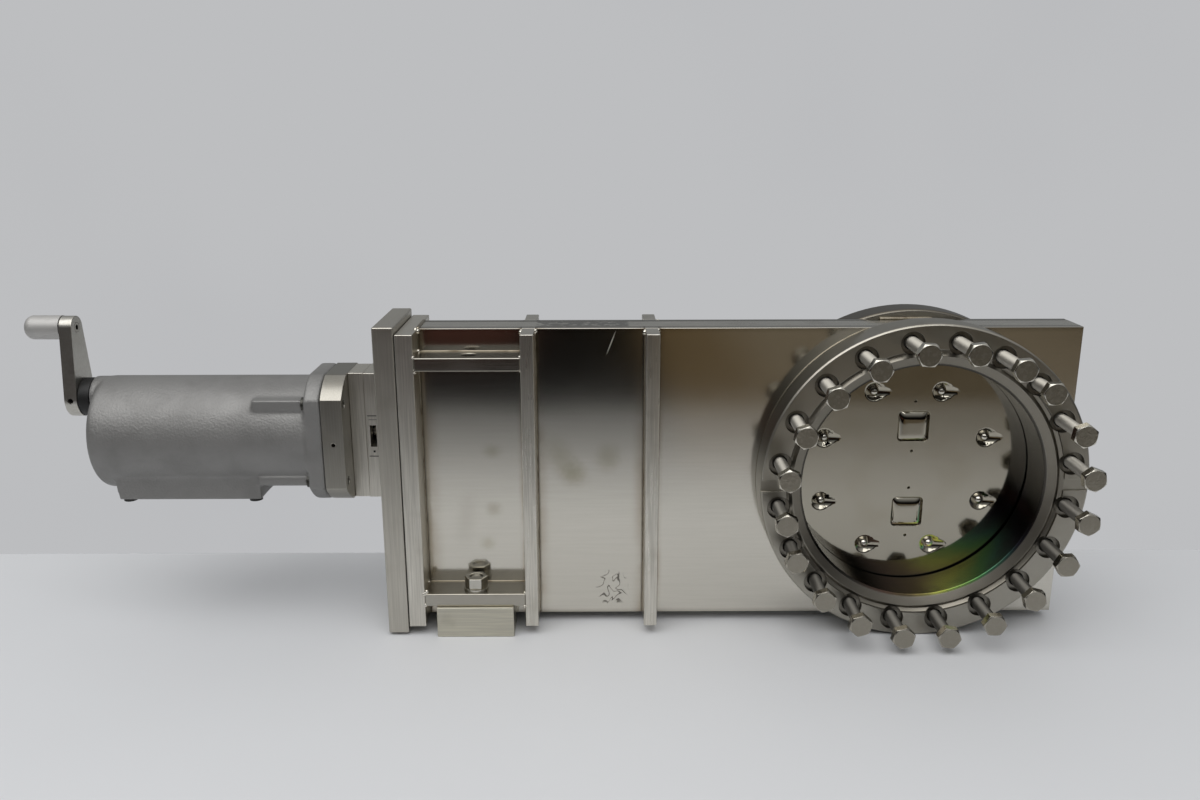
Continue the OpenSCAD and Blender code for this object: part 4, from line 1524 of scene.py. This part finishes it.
@dataclass
class Studio:
    """A pale table and wall, a soft ceiling light, and a dim room in front of the table's edge."""

    centre_x: float = -0.2
    ground_z: float = -0.1012
    near_y: float = -0.20
    dark_y: float = -0.61
    wall_y: float = 0.063
    table_r: float = 4.0
    wall_half: tuple = (2.0, 1.0)
    floor_half: tuple = (3.2, 1.6)
    # The pale things fade out between these distances from the valve
    fade_mm: tuple = (550.0, 1700.0)
    wall: str = "#b9babc"
    wall_paint: str = "#bdbec0"
    table: str = "#d6d7d9"
    eye: tuple = (-0.2026, -0.6654, 0.2169)
    yaw_deg: float = 0.25
    pitch_deg: float = 15.18
    roll_deg: float = 0.11
    lens_mm: float = 30.81
    sky: float = 0.70
    lamp_w: float = 24.0
    lamp_size: tuple = (2.4, 1.6)
    lamp_at: tuple = (-0.5, -0.9, 1.55)

    def build(self) -> None:
        """Sets the table, the room, the lamp and the camera."""
        bpy.context.scene.view_settings.view_transform = "Standard"
        self.lay_table()
        self.raise_wall()
        self.dim_front()
        self.light_room()
        self.hang_lamp()
        self.set_camera()

    def lay_table(self) -> None:
        """A wide pale table top that fades into the wall's colour far from the valve."""
        shape = bmesh.new()
        bmesh.ops.create_circle(shape, cap_ends=True, segments=96, radius=self.table_r)
        bmesh.ops.translate(shape, verts=shape.verts, vec=(self.centre_x, 0.0, self.ground_z))
        coat = Finish("pale_table", self.table, 0.55, metallic=0.0)
        coat.tint(coat.blotches(260, 0.4, 0.7), "#cfd0d2", 0.25)
        self.finish(coat, self.fading(coat, (1, 1, 0)))
        self.put("table_top", shape, coat.material)

    def raise_wall(self) -> None:
        """The white wall just behind the valve; only the eye sees it, and only from in front."""
        wide, high = self.wall_half
        shape = bmesh.new()
        bmesh.ops.create_grid(shape, x_segments=1, y_segments=1, size=1.0)
        at = Matrix.Translation((self.centre_x, self.wall_y, self.ground_z + high))
        upright = at @ Matrix.Rotation(math.radians(90), 4, "X")
        size = Matrix.Diagonal((wide, high, 1.0, 1.0))
        bmesh.ops.transform(shape, matrix=upright @ size, verts=shape.verts)
        coat = Finish("white_wall", self.wall_paint, 0.5, metallic=0.0)
        coat.tint(coat.blotches(420, 0.4, 0.7), "#b6b7ba", 0.6)
        eye = add(coat.tree, "LightPath", out="Is Camera Ray")
        behind = add(coat.tree, "NewGeometry", out="Backfacing")
        seen = add(coat.tree, "Math", {0: eye, 1: behind}, operation="SUBTRACT")
        unseen = add(coat.tree, "Math", {0: 1.0, 1: seen}, operation="SUBTRACT")
        far = self.fading(coat, (1, 0, 1))
        hidden = add(coat.tree, "Math", {0: unseen, 1: far}, operation="MAXIMUM")
        plain = add(coat.tree, "Emission", {"Color": coat.tone, "Strength": 1.0})
        self.finish(coat, hidden, plain)
        self.put("white_wall", shape, coat.material)

    def fading(self, coat: Finish, axes: tuple) -> Socket:
        """How far a point lies from the valve.

        Args:
            coat: the finish that asks.
            axes: 1 for each axis that the distance is measured along.

        Returns:
            A factor that grows from 0 near the valve to 1 far from it.
        """
        centred = {"Vector": coat.place, "Location": (-self.centre_x, 0.0, 0.0), "Scale": axes}
        moved = add(coat.tree, "Mapping", centred)
        reach = add(coat.tree, "VectorMath", {0: moved}, out="Value", operation="LENGTH")
        return coat.level(reach, *self.fade_mm)

    def finish(self, coat: Finish, clear: Socket, solid: Optional[Socket] = None) -> None:
        """Closes a studio finish that is see-through where a factor says so.

        Args:
            coat: the finish.
            clear: the factor, 1 where nothing is seen.
            solid: the shader elsewhere; a plain paint in the finish's colour if left out.
        """
        if solid is None:
            paint = {"Base Color": coat.tone, "Roughness": coat.roughness}
            solid = add(coat.tree, "BsdfPrincipled", paint)
        nothing = add(coat.tree, "BsdfTransparent")
        mix = add(coat.tree, "MixShader", {0: clear, 1: solid, 2: nothing})
        add(coat.tree, "OutputMaterial", {"Surface": mix})

    def dim_front(self) -> None:
        """The dark room beyond the table, which only the steel mirrors; it deepens with distance."""
        wide, deep = self.floor_half
        shape = bmesh.new()
        bmesh.ops.create_grid(shape, x_segments=1, y_segments=1, size=1.0)
        size = Matrix.Diagonal((wide, deep, 1.0, 1.0))
        at = Matrix.Translation((self.centre_x, self.near_y - deep, self.ground_z + 0.001))
        bmesh.ops.transform(shape, matrix=at @ size, verts=shape.verts)
        coat = Finish("dim_floor", "#070706", 0.9, metallic=0.0)
        along = coat.past(0, 0.0)
        away = coat.past(1, 0.0)
        # Brown and grey things stand in the room, which the sheets and the discs pick up
        brown = coat.product(coat.level(along, -300.0, -340.0), coat.level(away, -820.0, -950.0))
        coat.tint(brown, "#4a2f28")
        right = coat.level(along, 900.0, 400.0)
        coat.tint(coat.product(coat.level(along, -150.0, -95.0), right), "#68583f")
        coat.tint(coat.product(coat.level(along, -40.0, 60.0), right), "#7a7060")
        # The table's far edge shows as a step in the steel, and the light fades towards it
        dark_mm = self.dark_y / MM
        edge = coat.product(coat.level(away, dark_mm, dark_mm + 90.0), 0.35)
        fade = coat.product(coat.level(away, dark_mm + 90.0, self.near_y / MM), 0.65)
        clear = add(coat.tree, "Math", {0: edge, 1: fade}, operation="ADD")
        matt = add(coat.tree, "BsdfDiffuse", {"Color": coat.tone, "Roughness": 1.0})
        self.finish(coat, clear, matt)
        floor = self.put("dim_floor", shape, coat.material)
        floor.visible_camera = False
        floor.visible_diffuse = False
        floor.visible_shadow = False

    def light_room(self) -> None:
        """An even wall to the eye; the steel sees a bright ceiling, a pale rear wall and a dim front."""
        world = bpy.data.worlds.new("studio_room")
        bpy.context.scene.world = world
        world.use_nodes = True
        tree = world.node_tree
        tree.nodes.clear()
        way = add(tree, "TexCoord", out="Generated")
        depth = add(tree, "SeparateXYZ", {0: way}, out=1)
        height = add(tree, "SeparateXYZ", {0: way}, out=2)
        # From a dark front floor: a window band above it, the rear wall, and the ceiling over all
        layers = (
            (height, 0.08, 0.45, "#a4a5a6"),
            (depth, -0.35, 0.35, "#989a9b"),
            (height, 0.3, 0.85, "#f4f5f6"),
        )
        room: Any = linear("#100f0d")
        for distance, start, full, colour in layers:
            ends = {"Value": distance, "From Min": start, "From Max": full}
            share = add(tree, "MapRange", ends, interpolation_type="SMOOTHSTEP")
            mixed = {"Factor": share, 6: room, 7: linear(colour)}
            room = add(tree, "Mix", mixed, out=2, data_type="RGBA")
        seen = add(tree, "LightPath", out="Is Camera Ray")
        mixed = {"Factor": seen, 6: room, 7: linear(self.wall)}
        colour = add(tree, "Mix", mixed, out=2, data_type="RGBA")
        power = add(tree, "Mix", {"Factor": seen, 2: self.sky, 3: 1.0}, data_type="FLOAT")
        light = add(tree, "Background", {"Color": colour, "Strength": power})
        add(tree, "OutputWorld", {"Surface": light})

    def hang_lamp(self) -> None:
        """A broad soft lamp over the table, a little to the left and front."""
        data = bpy.data.lights.new("ceiling_lamp", "AREA")
        data.shape = "RECTANGLE"
        data.size, data.size_y = self.lamp_size
        data.energy = self.lamp_w
        lamp = bpy.data.objects.new("ceiling_lamp", data)
        bpy.context.scene.collection.objects.link(lamp)
        at = Vector(self.lamp_at)
        lamp.matrix_world = aimed(at, at - Vector((self.centre_x, 0.0, 0.0)))

    def set_camera(self) -> None:
        """Stands the camera in front and a little above, looking slightly down."""
        yaw, pitch, roll = (math.radians(v) for v in (self.yaw_deg, self.pitch_deg, self.roll_deg))
        flat = Vector((math.sin(yaw), math.cos(yaw), 0.0)) * math.cos(pitch)
        ahead = flat - Vector((0.0, 0.0, math.sin(pitch)))
        right = Vector((math.cos(yaw), -math.sin(yaw), 0.0))
        down = ahead.cross(right)
        across = right * math.cos(roll) + down * math.sin(roll)
        upright = right * math.sin(roll) - down * math.cos(roll)
        turn = Matrix((across, upright, -ahead)).transposed().to_4x4()
        data = bpy.data.cameras.new("camera")
        data.sensor_width = 36.0
        data.lens = self.lens_mm
        camera = bpy.data.objects.new("camera", data)
        bpy.context.scene.collection.objects.link(camera)
        camera.matrix_world = Matrix.Translation(self.eye) @ turn
        bpy.context.scene.camera = camera

    def put(self, name: str, shape: Shape, material: Material) -> bpy.types.Object:
        """Adds a piece of the studio.

        Args:
            name: the piece's name.
            shape: its geometry; it is freed.
            material: its finish.

        Returns:
            The new object.
        """
        piece = mesh_object(name, shape, material)
        return piece


def main() -> None:
    """Builds the studio and the sub-assemblies."""
    logging.basicConfig(level=logging.INFO, format="%(name)s: %(message)s")
    Studio().build()
    for assembly in (WeldedBody(), PortFlanges(), Feet(), Bonnet(), Actuator(), Crank(), Gate()):
        log.info("building %s", type(assembly).__name__)
        assembly.build()


if __name__ == "__main__":
    main()
